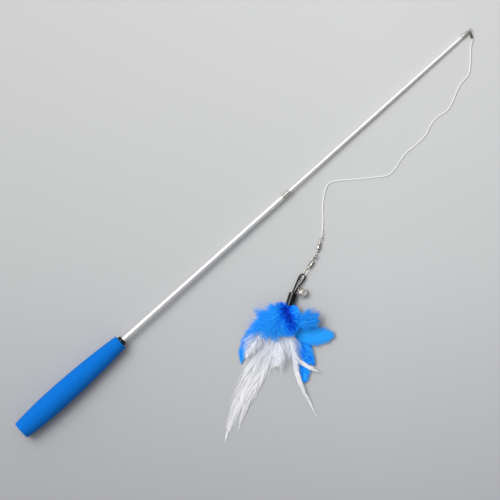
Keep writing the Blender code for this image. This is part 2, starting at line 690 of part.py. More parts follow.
def fan_heights(level, distance):
    """The underside and thickness of one feather of the fan, this far from the sleeve's mouth."""
    thick = [thickness * MM for _, _, _, _, thickness, *_ in FEATHERS]
    fan_bottom = sum(thick[:level]) + level * FAN_GAP
    deck = (len(FEATHERS) - 1) * QUILL_PITCH + QUILL_THICK
    quill_bottom = SLEEVE_HEIGHT - deck / 2 + level * QUILL_PITCH
    spread = smooth_step((distance - FAN_START) / (FAN_RADIUS - FAN_START))
    return mix(quill_bottom, fan_bottom, spread), mix(QUILL_THICK, thick[level], spread)


def vane_width(share, half_width, widest, sharpness):
    """Half the vane's width at a share of its length: it swells to its widest place and closes at the tip."""
    rise = (share / widest) ** (sharpness * widest / (1 - widest))
    fall = ((1 - share) / (1 - widest)) ** sharpness
    return max(half_width * rise * fall, QUILL_HALF_WIDTH)


def make_feather(level, row, lure):
    name, colour, outer_route, half_width, _, widest, sharpness = row
    bare_end = LURE_SLEEVE_LENGTH - LURE_SLEEVE_SHOWN + FIXED_GAP
    vane = smooth_route([(bare_end, 0, 0)] + [(x * MM, y * MM, 0) for x, y in outer_route], VANE_STATIONS + 1)
    route = [Vector((-QUILL_SUNK, 0, 0)), *vane]
    bm = bmesh.new()
    sections = []
    for k, point in enumerate(route):
        before, after = route[max(k - 1, 0)], route[min(k + 1, len(route) - 1)]
        left = Vector((before.y - after.y, after.x - before.x, 0)).normalized()
        droop = 1.0
        if name in DROOPS:
            start, end = DROOPS[name] * MM, route[-1].length
            droop = 1 - smooth_step((point.length - start) / (end - start))
        half = vane_width(max(k - 1, 0) / VANE_STATIONS, half_width * MM, widest, sharpness)
        over, under = [], []
        for column in range(VANE_COLUMNS + 1):
            across = 2 * column / VANE_COLUMNS - 1
            place = point + left * half * across
            bottom, thick = fan_heights(level, math.copysign(place.length, place.x))
            lens = VANE_EDGE + (1 - VANE_EDGE) * (1 - across * across)
            over.append(bm.verts.new(at_height(place, bottom * droop + thick * lens - SLEEVE_HEIGHT)))
            under.append(bm.verts.new(at_height(place, bottom * droop - SLEEVE_HEIGHT)))
        sections.append(over + under[::-1])
    for first, second in zip(sections, sections[1:]):
        for k in range(len(first)):
            bm.faces.new((first[k - 1], first[k], second[k], second[k - 1]))
    bm.faces.new(sections[0])
    bm.faces.new(sections[-1])
    bmesh.ops.triangulate(bm, faces=[face for face in bm.faces if len(face.verts) > 4])
    piece(name, bm, colour(), lure)


def shell_arc(radius, start, end, steps):
    """Points on a circle about the bell's centre, from one angle off its pole to another."""
    turns = [mix(start, end, k / steps) for k in range(steps + 1)]
    return [(BELL_FROM_STRAND - radius * math.cos(a), radius * math.sin(a)) for a in turns]


def make_bell_shells(bell):
    """Two cups with a rolled seam between them. The first is holed for the staple, and the other slotted."""
    inner = BELL_RADIUS - BELL_WALL
    seam = BELL_FROM_STRAND
    pole_outside = math.asin(BELL_POLE_HOLE / BELL_RADIUS)
    pole_inside = math.asin(BELL_POLE_HOLE / inner)
    rim_outside = math.acos((BELL_SEAM_HALF + FIXED_GAP / 2) / BELL_RADIUS)
    rim_inside = math.acos(FIXED_GAP / 2 / inner)
    rim_end = seam - FIXED_GAP / 2
    rim = [(rim_end - BELL_SEAM_HALF, BELL_SEAM_RADIUS), (rim_end, BELL_SEAM_RADIUS)]
    outside = shell_arc(BELL_RADIUS, pole_outside, rim_outside, 5)
    inside = shell_arc(inner, rim_inside, pole_inside, 4)
    turned("bell_top_shell", outside + rim + inside, nickel(), bell)

    def beyond(points):
        return [(2 * seam - x, radius) for x, radius in points]

    cup_outside = shell_arc(BELL_RADIUS, 0, rim_outside, 6)
    cup_inside = shell_arc(inner, rim_inside, 0, 5)
    section = [(x, max(radius, 0)) for x, radius in beyond(cup_outside + rim + cup_inside)]
    cup = turned("bell_bottom_shell", section, nickel(), bell)
    reach = seam + 2 * BELL_RADIUS
    start = seam + BELL_SEAM_HALF + RUNNING_GAP
    for k in range(2):
        bm = bmesh.new()
        bmesh.ops.create_cube(bm, size=1)
        bmesh.ops.scale(bm, verts=bm.verts, vec=(reach - start, 2 * SLOT_HALF_WIDTH, 2 * SLOT_REACH))
        bmesh.ops.translate(bm, verts=bm.verts, vec=((start + reach) / 2, 0, 0))
        slot = piece(f"slot_cutter_{k}", bm, nickel(), bell)
        slot.rotation_euler.x = math.pi / 4 + k * math.pi / 2
        combine(cup, slot, "DIFFERENCE")
    for k in range(4):
        turn = math.pi / 4 + k * math.pi / 2
        near, far = start + FIXED_GAP, reach + FIXED_GAP
        section = [(near, 0), (near, SLOT_END_RADIUS), (far, SLOT_END_RADIUS), (far, 0)]
        drill = turned(f"slot_end_cutter_{k}", section, nickel(), bell, SMALL_SIDES)
        drill.location = (0, SLOT_REACH * math.cos(turn), SLOT_REACH * math.sin(turn))
        combine(cup, drill, "DIFFERENCE")


def make_bell(bell, pellet):
    """The ring on the loop's strand, the staple that it holds, the two shells and the loose ball inside."""
    ring("bell_ring", BELL_RING_AT, BELL_RING_RADIUS, BELL_RING_WIRE, nickel(), bell, upright=True)
    pole = BELL_FROM_STRAND - BELL_RADIUS
    legs = [(STAPLE_DEPTH, STAPLE_FLARE), (0.75 * STAPLE_DEPTH, 1.15 * STAPLE_RADIUS)]
    legs = [(pole + x, y) for x, y in legs + [(0.4 * STAPLE_DEPTH, STAPLE_RADIUS)]]
    turns = [math.pi * k / 8 for k in range(9)]
    arch = [(pole - STAPLE_RADIUS * math.sin(a), STAPLE_RADIUS * math.cos(a), 0) for a in turns]
    first = [(x, y, 0) for x, y in legs]
    last = [(x, -y, 0) for x, y in reversed(legs)]
    wire("bell_staple", first + arch + last, STAPLE_WIRE, nickel(), bell)
    make_bell_shells(bell)
    fall = BELL_RADIUS - BELL_WALL - PELLET_RADIUS - FIXED_GAP
    loose = ball("bell_pellet", 0, PELLET_RADIUS, nickel(), pellet)
    loose.location = (0, 0, -fall)


def rest_on_table():
    """The rod's tilt and the butt's height, with the grip's belly and the ferrule's front on the table."""
    tilt = 0.0
    contact = ferrule_front() - FERRULE_CHAMFER
    for _ in range(20):
        height = max(x * math.sin(tilt) + grip_radius(x) * math.cos(tilt) for x in grip_stations())
        tilt = math.asin((height - FERRULE_RADIUS * math.cos(tilt)) / contact)
    return tilt, height


def make_wand(table):
    """The grip and the rod. It returns the rod's frame and the centre of the eye at its tip."""
    tilt, height = rest_on_table()
    wand = frame("wand_axis", table, (0, 0, height), pitch=tilt)
    make_grip(wand)
    tube_start = make_grip_fittings(wand)
    stop = make_thick_tube(wand, tube_start)
    rod = frame("pivot_rod", wand, (0, 0, height), pitch=tilt)
    ferrule_back = make_thin_tube(rod, stop)
    make_tip(rod, ferrule_back)
    eye = eye_from_butt()
    return rod, Vector((eye * math.cos(tilt), 0, height - eye * math.sin(tilt)))


def make_string_and_swivel(rod, eye_at):
    """From the tip's eye to the snap's ring. It returns the frame that the snap turns on and its place."""
    swing = frame("pivot_cord_swing", rod, eye_at)
    clip = frame("clip_axis", swing, eye_at, CLIP_HEADING, CLIP_PITCH)
    knot_end = make_clip(clip)
    start = clip.matrix_world @ Vector((knot_end, 0, 0))
    knot_span = TIE_LENGTH + 2 * FIXED_GAP + SWIVEL_KNOT_RADIUS + FIXED_GAP
    string_end = make_string(swing, start, 4 * MM)
    top = ahead(string_end, TIE_HEADING, knot_span)
    tie = frame("tie_axis", swing, top, TIE_HEADING + math.pi)
    make_swivel_tie(tie)

    top_eye = frame("swivel_top_axis", swing, top, SWIVEL_HEADING)
    make_swivel_eye("swivel_top_eye", 0, TOP_EYE_RADIUS, EYE_WIRE, 1, BARREL_START, top_eye)
    barrel = frame("pivot_barrel_spin", top_eye, top, SWIVEL_HEADING)
    make_barrel(barrel)
    spin = frame("pivot_eye_spin", barrel, top, SWIVEL_HEADING)
    barrel_end = BARREL_START + BARREL_LENGTH
    size = BOTTOM_EYE_RADIUS, BOTTOM_EYE_WIRE
    make_swivel_eye("swivel_bottom_eye", SWIVEL_LENGTH, *size, -1, barrel_end, spin)
    return spin, ahead(top, SWIVEL_HEADING, SWIVEL_LENGTH)


def make_snap_and_lure(spin, ring_at):
    """The snap on the swivel's eye, and the lure on the snap."""
    swing = frame("pivot_snap_swing", spin, ring_at, SNAP_HEADING)
    snap = frame("snap_plane", swing, ring_at, SNAP_HEADING, roll=-SNAP_LEAN)
    bend_top = snap.matrix_world @ Vector((SNAP_BEND_AT, 0, SNAP_HALF_WIDTH))
    gate = frame("pivot_snap_gate", snap, bend_top, SNAP_HEADING, roll=-SNAP_LEAN)
    make_snap(snap, gate)

    loop_at = ahead(ring_at, SNAP_HEADING, LOOP_FROM_SNAP_RING)
    loop = frame("pivot_lure_swing", swing, loop_at, LOOP_HEADING)
    mouth = ahead(loop_at, LOOP_HEADING, LOOP_LENGTH)
    lure_at = at_height(ahead(mouth, LURE_HEADING, LURE_SLEEVE_SHOWN), SLEEVE_HEIGHT)
    lure = frame("lure_axis", loop, lure_at, LURE_HEADING)
    make_lure_holder(loop, lure)
    for level, row in enumerate(FEATHERS):
        make_feather(level, row, lure)

    strand, _ = strand_at(BELL_FROM_LOOP, 1)
    hung_at = loop.matrix_world @ strand
    climb = math.asin((BELL_SEAM_RADIUS + RUNNING_GAP - hung_at.z) / BELL_FROM_STRAND)
    bell = frame("pivot_bell_swing", loop, hung_at, LOOP_HEADING + BELL_TURN, -climb)
    centre = bell.matrix_world @ Vector((BELL_FROM_STRAND, 0, 0))
    pellet = frame("pivot_pellet_roll", bell, centre, LOOP_HEADING + BELL_TURN, -climb)
    make_bell(bell, pellet)


def centre_over_origin(table):
    """Moves the whole so that the origin lies on the table under the middle of all but the string."""
    graph = bpy.context.evaluated_depsgraph_get()
    points = []
    for obj in bpy.context.scene.objects:
        if obj.type not in ("MESH", "CURVE") or obj.hide_render or obj.name == "string":
            continue
        shape = obj.evaluated_get(graph)
        points += [shape.matrix_world @ vertex.co for vertex in shape.to_mesh().vertices]
        shape.to_mesh_clear()
    low = Vector([min(point[k] for point in points) for k in range(3)])
    high = Vector([max(point[k] for point in points) for k in range(3)])
    table.location = (-(low.x + high.x) / 2, -(low.y + high.y) / 2, -low.z)
    bpy.context.view_layer.update()


def make_all():
    for obj in list(bpy.data.objects):
        bpy.data.objects.remove(obj)
    table = frame("table", None, (0, 0, 0))
    rod, eye_at = make_wand(table)
    spin, ring_at = make_string_and_swivel(rod, eye_at)
    make_snap_and_lure(spin, ring_at)
    centre_over_origin(table)


make_all()
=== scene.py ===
"""The looks of a feather cat wand that lies on a table, drawn out to its full length.

The camera comes first, then the string, grip, rod, tip, swivel and snap, lure and bell, and feathers, and
last the table and the light. Pieces are drawn in millimetres in the frame that the CAD gives them, and set
down in metres.
"""

import math
from collections import namedtuple

import bmesh
import bpy
import numpy as np
from mathutils import Euler, Matrix, Vector, noise


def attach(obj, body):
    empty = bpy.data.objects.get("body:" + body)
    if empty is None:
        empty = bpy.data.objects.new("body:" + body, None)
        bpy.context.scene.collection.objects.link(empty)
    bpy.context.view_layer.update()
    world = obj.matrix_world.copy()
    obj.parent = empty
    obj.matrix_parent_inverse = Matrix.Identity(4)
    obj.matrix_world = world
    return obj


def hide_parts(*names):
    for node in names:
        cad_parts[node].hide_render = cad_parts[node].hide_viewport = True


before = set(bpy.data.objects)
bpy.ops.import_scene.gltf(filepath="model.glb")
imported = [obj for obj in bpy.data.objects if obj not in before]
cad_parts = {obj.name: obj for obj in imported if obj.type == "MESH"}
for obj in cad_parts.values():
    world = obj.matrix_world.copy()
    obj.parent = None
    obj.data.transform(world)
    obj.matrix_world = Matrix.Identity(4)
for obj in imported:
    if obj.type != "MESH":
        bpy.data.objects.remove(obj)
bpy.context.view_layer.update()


# The camera hangs straight above the table with a long lens, turned so that the rod runs from the lower
# left corner of the picture to the upper right.
CAMERA_OVER = (-0.01196, 0.07646)
CAMERA_HEIGHT = 3.5
CAMERA_TURN = math.radians(-41.76)
TABLE_SEEN = 0.55


def new_object(name, data):
    """An object of the scene."""
    obj = bpy.data.objects.new(name, data)
    bpy.context.scene.collection.objects.link(obj)
    return obj


lens = bpy.data.cameras.new("overhead_camera")
lens.angle = 2 * math.atan(TABLE_SEEN / 2 / CAMERA_HEIGHT)
camera = new_object("overhead_camera", lens)
camera.location = (*CAMERA_OVER, CAMERA_HEIGHT)
camera.rotation_euler = (0, 0, CAMERA_TURN)
bpy.context.scene.camera = camera


# The string is a thin white cord, braided smooth, that lies across the table from the rod's tip to the
# swivel. It is limp, so it keeps the loose bends that it fell in.
MM = 0.001
ROD_TIP = Vector((0.329237, 0.095762, 0.0))
STRING_START = Vector((0.32369, 0.08515, 0.00127))
STRING_END = Vector((0.06013, 0.03804, 0.00275))
STRING_RADIUS = 0.6
STRING_STATIONS = 420
# Places along the string from the rod's tip, in metres
STRING_ROUTE = [
    (-0.0103, -0.0138, 0.0009), (-0.0172, -0.0207, 0.00065), (-0.0240, -0.0280, 0.00065),
    (-0.0323, -0.0350, 0.00065), (-0.0406, -0.0367, 0.00065), (-0.0472, -0.0376, 0.00065),
    (-0.0555, -0.0407, 0.00065), (-0.0641, -0.0451, 0.00065), (-0.0765, -0.0493, 0.00065),
    (-0.0893, -0.0476, 0.00065), (-0.1002, -0.0489, 0.00065), (-0.1128, -0.0536, 0.00065),
    (-0.1262, -0.0547, 0.00065), (-0.1407, -0.0540, 0.00065), (-0.1519, -0.0560, 0.00065),
    (-0.1635, -0.0592, 0.00065), (-0.1740, -0.0586, 0.00065), (-0.1840, -0.0520, 0.00065),
    (-0.1957, -0.0439, 0.00065), (-0.2069, -0.0354, 0.00065), (-0.2170, -0.0278, 0.00065),
    (-0.2245, -0.0234, 0.00065), (-0.2320, -0.0236, 0.00065), (-0.2415, -0.0296, 0.00065),
    (-0.2499, -0.0374, 0.00065), (-0.2587, -0.0476, 0.00065), (-0.2660, -0.0552, 0.0012),
]
TABLE = Matrix.Identity(4)
# The eased end of a cord or wire: how far past its last place, and how thick there, as shares of its radius
END_PAST = (0.5, 0.4)
END_THICK = (0.02, 0.6)


def smooth_route(points, count):
    """Evenly spaced places on a smooth curve through these points."""
    points = [Vector(p) for p in points]
    knots = [2 * points[0] - points[1], *points, 2 * points[-1] - points[-2]]
    close = []
    for a, b, c, d in zip(knots, knots[1:], knots[2:], knots[3:]):
        for t in np.arange(0, 1, 1 / 16):
            bend = (2 * a - 5 * b + 4 * c - d) * t * t + (3 * b - a - 3 * c + d) * t * t * t
            close.append(b + ((c - a) * t + bend) / 2)
    close = np.array([*close, points[-1]])
    reach = np.concatenate([[0], np.cumsum(np.linalg.norm(np.diff(close, axis=0), axis=1))])
    wanted = np.linspace(0, reach[-1], count)
    return np.stack([np.interp(wanted, reach, close[:, k]) for k in range(3)], axis=1)


def sweep(route, radius, sides=12, closed=False):
    """A round cord or wire along a route: corners, faces, and how far along and round each face corner is."""
    route = np.asarray(route, float)
    radius = np.broadcast_to(np.asarray(radius, float), len(route)).copy()
    if not closed:
        first, last = route[1] - route[0], route[-1] - route[-2]
        first, last = first / np.linalg.norm(first), last / np.linalg.norm(last)
        head = [route[0] - first * radius[0] * past for past in END_PAST]
        tail = [route[-1] + last * radius[-1] * past for past in reversed(END_PAST)]
        route = np.array([*head, *route, *tail])
        head = [radius[0] * thick for thick in END_THICK]
        tail = [radius[-1] * thick for thick in reversed(END_THICK)]
        radius = np.array([*head, *radius, *tail])
    if closed:
        run = np.roll(route, -1, axis=0) - np.roll(route, 1, axis=0)
    else:
        run = np.gradient(route, axis=0)
    run /= np.linalg.norm(run, axis=1)[:, None]
    stands_up = abs(run[0][2]) >= 0.9
    side = np.cross(run[0], (0, 1, 0) if stands_up else (0, 0, 1))
    sideways = []
    for direction in run:
        side = side - direction * side.dot(direction)
        side = side / np.linalg.norm(side)
        sideways.append(side)
    sideways = np.array(sideways)
    if closed:
        # Share out the twist that is left when the ring closes
        end = sideways[-1] - run[0] * sideways[-1].dot(run[0])
        twist = math.atan2(np.cross(end, sideways[0]).dot(run[0]), end.dot(sideways[0]))
        turn = np.linspace(0, twist, len(route), endpoint=False)[:, None]
        sideways = sideways * np.cos(turn) + np.cross(run, sideways) * np.sin(turn)
    upward = np.cross(run, sideways)
    around = np.linspace(0, math.tau, sides, endpoint=False)
    ring = sideways[:, None] * np.cos(around)[None, :, None] + upward[:, None] * np.sin(around)[None, :, None]
    corners = (route[:, None] + ring * radius[:, None, None]).reshape(-1, 3)
    steps = np.linalg.norm(np.diff(route, axis=0), axis=1)
    reach = np.concatenate([[0], np.cumsum(steps)])
    count = len(route) if closed else len(route) - 1
    faces, places = [], []
    for i in range(count):
        j = (i + 1) % len(route)
        far = reach[i] + np.linalg.norm(route[j] - route[i])
        for k in range(sides):
            m = (k + 1) % sides
            faces.append((i * sides + k, i * sides + m, j * sides + m, j * sides + k))
            left, right = k / sides, (k + 1) / sides
            places += [(reach[i], left), (reach[i], right), (far, right), (far, left)]
    if not closed:
        faces += [tuple(range(sides - 1, -1, -1)), tuple(range(len(corners) - sides, len(corners)))]
        places += [(0, 0)] * sides + [(reach[-1], 0)] * sides
    return corners, faces, places


def mesh_piece(name, corners, faces, places=None, scale=MM, crease=35):
    """A smooth piece from corners in mm. places says how far along and round a cord each face corner is."""
    mesh = bpy.data.meshes.new(name)
    mesh.from_pydata((np.asarray(corners) * scale).tolist(), [], faces)
    if places is not None:
        lay = mesh.uv_layers.new(name="lay_of_cord")
        lay.data.foreach_set("uv", np.asarray(places, np.float32).ravel())
    mesh.shade_smooth()
    if crease:
        mesh.set_sharp_from_angle(angle=math.radians(crease))
    return new_object(name, mesh)


def fit(obj, where, finish, body, node):
    """Sets a finished piece down on its body, where it stands for its CAD solid."""
    obj.data.materials.append(finish)
    obj.matrix_world = where
    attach(obj, body)
    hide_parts(node)
    return obj


def shader_step(tree, kind, feeds=None, **settings):
    """A node with these settings. Each input that is fed holds a value or follows another node's output."""
    made = tree.nodes.new(kind)
    for name, value in settings.items():
        setattr(made, name, value)
    for entry, value in (feeds or {}).items():
        if isinstance(value, bpy.types.NodeSocket):
            tree.links.new(value, made.inputs[entry])
        else:
            made.inputs[entry].default_value = value
    return made


def reckon(tree, operation, *values):
    """A sum on numbers and other nodes' outputs."""
    return shader_step(tree, "ShaderNodeMath", dict(enumerate(values)), operation=operation).outputs["Value"]


def new_finish(name, roughness, metallic=0.0, sheen=0.0, gloss=0.5):
    """A node material for one finish."""
    material = bpy.data.materials.new(name)
    material.use_nodes = True
    shader = material.node_tree.nodes["Principled BSDF"]
    shader.inputs["Roughness"].default_value = roughness
    shader.inputs["Metallic"].default_value = metallic
    shader.inputs["Sheen Weight"].default_value = sheen
    shader.inputs["Specular IOR Level"].default_value = gloss
    return material


def feed(material, entry, output):
    """One input of a finish's shader follows this output."""
    shader = material.node_tree.nodes["Principled BSDF"]
    material.node_tree.links.new(output, shader.inputs[entry])


def grain(material, per_metre, detail=3.0):
    """Noise that is fixed to the piece, with this many spots to the metre along each of its axes."""
    tree = material.node_tree
    where = shader_step(tree, "ShaderNodeTexCoord").outputs["Object"]
    scaled = shader_step(tree, "ShaderNodeMapping", {"Vector": where, "Scale": per_metre}).outputs["Vector"]
    spots = shader_step(tree, "ShaderNodeTexNoise", {"Vector": scaled, "Scale": 1.0, "Detail": detail})
    return spots.outputs["Fac"]


def tint(material, factor, stops):
    """The colour goes through these stops as the factor rises."""
    ramp = shader_step(material.node_tree, "ShaderNodeValToRGB", {"Fac": factor})
    elements = ramp.color_ramp.elements
    while len(elements) < len(stops):
        elements.new(0.5)
    for element, (place, colour) in zip(elements, stops):
        element.position = place
        element.color = (*colour, 1.0)
    feed(material, "Base Color", ramp.outputs["Color"])


def polish(material, factor, smoothest, roughest):
    """Roughness from one to the other as the factor rises through the middle half of its range."""
    span = {"Value": factor, "From Min": 0.25, "From Max": 0.75, "To Min": smoothest, "To Max": roughest}
    feed(material, "Roughness", shader_step(material.node_tree, "ShaderNodeMapRange", span).outputs["Result"])


def relief(material, factor, height):
    """The surface stands this much proud, in mm, where the factor is 1."""
    bump = shader_step(material.node_tree, "ShaderNodeBump", {"Height": factor, "Distance": height * MM})
    feed(material, "Normal", bump.outputs["Normal"])


def braid(material, pitch, strands):
    """The crossing strands of a braided cord, as a height of up to 1. pitch is in mm along the cord."""
    tree = material.node_tree
    lay = shader_step(tree, "ShaderNodeUVMap", uv_map="lay_of_cord")
    parts = shader_step(tree, "ShaderNodeSeparateXYZ", {"Vector": lay.outputs["UV"]})
    along = reckon(tree, "MULTIPLY", parts.outputs["X"], math.tau / pitch)
    crossed = []
    for hand in (1, -1):
        turned_by = reckon(tree, "MULTIPLY_ADD", parts.outputs["Y"], hand * math.tau * strands, along)
        crossed.append(reckon(tree, "SINE", turned_by))
    return reckon(tree, "MAXIMUM", *crossed)


white_cord = new_finish("white_braided_cord", 0.5, sheen=0.2)
weave = braid(white_cord, pitch=1.1, strands=4)
# Painted shade: the cord's colour is darker in the grooves between the strands of the braid
tint(white_cord, weave, [(0.0, (0.78, 0.78, 0.80)), (1.0, (0.92, 0.92, 0.94))])
relief(white_cord, weave, 0.03)

string_route = [STRING_START, *(ROD_TIP + Vector(point) for point in STRING_ROUTE), STRING_END]
string_line = smooth_route(string_route, STRING_STATIONS)
string = mesh_piece("string_braided", *sweep(string_line / MM, STRING_RADIUS), crease=None)
fit(string, TABLE, white_cord, "cord", "string")


# The grip is a sleeve of blue foam, ground to a belly that fills the palm and cut square at both ends. It is
# pulled over its plastic core with a little glue, and its skin is an even fine grain of cut cells.
GRIP_LENGTH = 146
GRIP_BELLY_AT = 52
GRIP_BUTT_RADIUS = 10.0
GRIP_BELLY_RADIUS = 12.7
GRIP_FRONT_RADIUS = 8.2
GRIP_BORE = 4.9
GRIP_EDGE = 0.7
GRIP_STATIONS = 74
GRIP_SIDES = 96
# The ground skin wanders by so many mm, with this many waves to the metre
GRIP_WANDERS = 0.06
GRIP_WAVES = 180
# The wand lies on its grip's belly and its tip, so that its axis slopes down from the butt
WAND_BUTT = (-0.33096, 0.095762, 0.013761)
WAND_SLOPE = math.degrees(math.asin(0.01765))


def stand(at, heading=0.0, pitch=0.0, roll=0.0):
    """A place on the table and a turn there, in degrees."""
    turn = Euler([math.radians(angle) for angle in (roll, pitch, heading)])
    return Matrix.Translation(at) @ turn.to_matrix().to_4x4()


def eased(section, radius, least=25):
    """The same outline with each corner of more than this many degrees rounded off."""
    out = []
    section = [Vector(point) for point in section]
    for k, here in enumerate(section):
        back, on = section[k - 1] - here, section[(k + 1) % len(section)] - here
        on_axis = here.y <= 0
        if on_axis or back.length < 1e-6 or on.length < 1e-6 or math.degrees(back.angle(-on)) < least:
            out.append(here)
            continue
        start = here + back * min(radius / back.length, 0.45)
        end = here + on * min(radius / on.length, 0.45)
        for t in (0.0, 0.25, 0.5, 0.75, 1.0):
            out.append(start.lerp(here, t).lerp(here.lerp(end, t), t))
    return out


def turned(name, section, sides=48, crease=35):
    """A piece turned about X, from (x, radius) points in mm that go up its back, forward and home inside."""
    rows, corners, faces = [], [], []
    for x, radius in section:
        if radius <= 1e-6:
            rows.append([len(corners)] * sides)
            corners.append((x, 0, 0))
            continue
        rows.append([len(corners) + k for k in range(sides)])
        turns = [math.tau * k / sides for k in range(sides)]
        corners += [(x, radius * math.cos(a), radius * math.sin(a)) for a in turns]
    hollow = section[0][1] > 1e-6
    for here, after in zip(rows, rows[1:] + rows[:1] if hollow else rows[1:]):
        for k in range(sides):
            m = (k + 1) % sides
            face = dict.fromkeys((here[k], here[m], after[m], after[k]))
            if len(face) > 2:
                faces.append(tuple(face))
    return mesh_piece(name, corners, faces, crease=crease)


def grip_radius(x):
    """The grip's radius this far from its butt: two parabolas that meet at the belly."""
    if x < GRIP_BELLY_AT:
        end, run = GRIP_BUTT_RADIUS, GRIP_BELLY_AT
    else:
        end, run = GRIP_FRONT_RADIUS, GRIP_LENGTH - GRIP_BELLY_AT
    return GRIP_BELLY_RADIUS - (GRIP_BELLY_RADIUS - end) * ((x - GRIP_BELLY_AT) / run) ** 2


WAND = stand(WAND_BUTT, pitch=WAND_SLOPE)

foam = new_finish("blue_foam_skin", 0.92, sheen=0.06, gloss=0.1)
foam_shader = foam.node_tree.nodes["Principled BSDF"]
foam_shader.inputs["Sheen Roughness"].default_value = 0.5
foam_shader.inputs["Sheen Tint"].default_value = (0.25, 0.6, 1.0, 1.0)
cells = grain(foam, (1700, 1700, 1700), 6.0)
tint(foam, cells, [(0.32, (0.001, 0.105, 0.45)), (0.5, (0.0015, 0.145, 0.56)), (0.68, (0.003, 0.19, 0.68))])
relief(foam, cells, 0.2)

outside = [(x, grip_radius(x)) for x in np.linspace(0, GRIP_LENGTH, GRIP_STATIONS)]
grip_section = eased([(0, GRIP_BORE), *outside, (GRIP_LENGTH, GRIP_BORE)], GRIP_EDGE)
grip = turned("grip_foam", grip_section, GRIP_SIDES)
for corner in grip.data.vertices:
    away = Vector((0, corner.co.y, corner.co.z))
    if away.length > 1.1 * GRIP_BORE * MM:
        corner.co += away.normalized() * noise.noise(corner.co * GRIP_WAVES) * GRIP_WANDERS * MM
fit(grip, WAND, foam, "handle", "foam_grip")


# Inside the foam runs a moulded black tube that the rod is glued in. A plug closes it at the butt, and a
# flanged bush in front carries the rod and covers the foam's cut edge.
TUBE_RADIUS = 2.6
FIXED_GAP = 0.3
CORE_BORE = TUBE_RADIUS + FIXED_GAP
SPIGOT_LENGTH = 8
PLUG_SPIGOT = TUBE_RADIUS
PLUG_RADIUS = GRIP_BORE - FIXED_GAP
PLUG_HEAD = 4
PLUG_DISH = 0.35
PLUG_DISH_RADIUS = 3.0
COLLAR_RADIUS = 5.5
COLLAR_LENGTH = 3.5


def dress(node, finish):
    """A CAD solid whose shape is right keeps it, and gets its real finish."""
    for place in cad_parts[node].material_slots:
        place.link = "OBJECT"
        place.material = finish


black_plastic = new_finish("black_moulded_plastic", 0.36, gloss=0.3)
moulding = grain(black_plastic, (900, 900, 900), 4.0)
tint(black_plastic, moulding, [(0.3, (0.003, 0.003, 0.004)), (0.7, (0.009, 0.009, 0.010))])
polish(black_plastic, moulding, 0.28, 0.44)
relief(black_plastic, moulding, 0.02)

dress("grip_core", black_plastic)

spigot_end = PLUG_HEAD + FIXED_GAP + SPIGOT_LENGTH
plug = [
    (PLUG_DISH, 0), (PLUG_DISH, PLUG_DISH_RADIUS - 0.4), (0, PLUG_DISH_RADIUS), (0, PLUG_RADIUS),
    (PLUG_HEAD, PLUG_RADIUS), (PLUG_HEAD, PLUG_SPIGOT), (spigot_end, PLUG_SPIGOT), (spigot_end, 0),
]
fit(turned("plug_in_butt", eased(plug, 0.35)), WAND, black_plastic, "handle", "butt_plug")

seat = GRIP_LENGTH + FIXED_GAP
bush_start = GRIP_LENGTH - SPIGOT_LENGTH
bush_front = seat + COLLAR_LENGTH
bush = [
    (bush_start, CORE_BORE), (bush_start, PLUG_RADIUS), (seat, PLUG_RADIUS), (seat, COLLAR_RADIUS),
    (bush_front - 1.6, COLLAR_RADIUS), (bush_front - 1.2, COLLAR_RADIUS - 0.25),
    (bush_front, COLLAR_RADIUS - 0.7), (bush_front, CORE_BORE),
]
bush_piece = turned("bush_in_front", eased(bush, 0.3))
fit(bush_piece, WAND, black_plastic, "handle", "front_collar")


# The thick tube of the rod is thin steel, drawn to a satin skin. A plated neck with seven rings is pressed in
# its front end, and holds the thin tube in line.
TUBE_BORE = 2.2
TUBE_START = spigot_end + FIXED_GAP
TUBE_FRONT = 384
NECK_LENGTH = 10.5
NECK_RINGS = 7
NECK_RADIUS = TUBE_RADIUS + 0.2
# The floor of a groove takes this share of a ring's length at each side of its swell
NECK_FLOOR = 0.12
NECK_GROOVE = 0.45
NECK_SPIGOT = 6
NECK_SPIGOT_RADIUS = 2.1
NECK_BORE = 1.9

drawn_steel = new_finish("satin_drawn_steel", 0.4, metallic=0.75)
drawing = grain(drawn_steel, (6, 900, 900), 3.0)
tint(drawn_steel, drawing, [(0.3, (0.90, 0.90, 0.905)), (0.7, (0.97, 0.97, 0.97))])
polish(drawn_steel, drawing, 0.4, 0.5)

satin_nickel = new_finish("satin_nickel_plate", 0.3, metallic=0.8)
plating = grain(satin_nickel, (500, 1400, 1400), 3.0)
tint(satin_nickel, plating, [(0.35, (0.46, 0.43, 0.39)), (0.65, (0.76, 0.73, 0.69))])
polish(satin_nickel, plating, 0.26, 0.36)
relief(satin_nickel, plating, 0.004)


def tube(start, end, radius, bore):
    """The section of a plain tube."""
    return [(start, bore), (start, radius), (end, radius), (end, bore)]


thick_tube = turned("tube_thick", eased(tube(TUBE_START, TUBE_FRONT, TUBE_RADIUS, TUBE_BORE), 0.18))
fit(thick_tube, WAND, drawn_steel, "handle", "outer_tube")

neck_back = TUBE_FRONT + FIXED_GAP
neck_front = neck_back + NECK_LENGTH
ring_pitch = NECK_LENGTH / NECK_RINGS
floor_of_groove = NECK_RADIUS - NECK_GROOVE
spigot_back = neck_back - NECK_SPIGOT
neck = [(spigot_back, NECK_BORE), (spigot_back, NECK_SPIGOT_RADIUS), (neck_back, NECK_SPIGOT_RADIUS)]
for ring_number in range(NECK_RINGS):
    start = neck_back + ring_number * ring_pitch
    neck += [(start, floor_of_groove), (start + ring_pitch * NECK_FLOOR, floor_of_groove)]
    for k in range(1, 8):
        share = NECK_FLOOR + (1 - 2 * NECK_FLOOR) * k / 8
        swell = math.sin(math.pi * k / 8) ** 0.6
        neck.append((start + ring_pitch * share, floor_of_groove + NECK_GROOVE * swell))
    neck.append((start + ring_pitch * (1 - NECK_FLOOR), floor_of_groove))
neck += [(neck_front, floor_of_groove), (neck_front, NECK_BORE)]
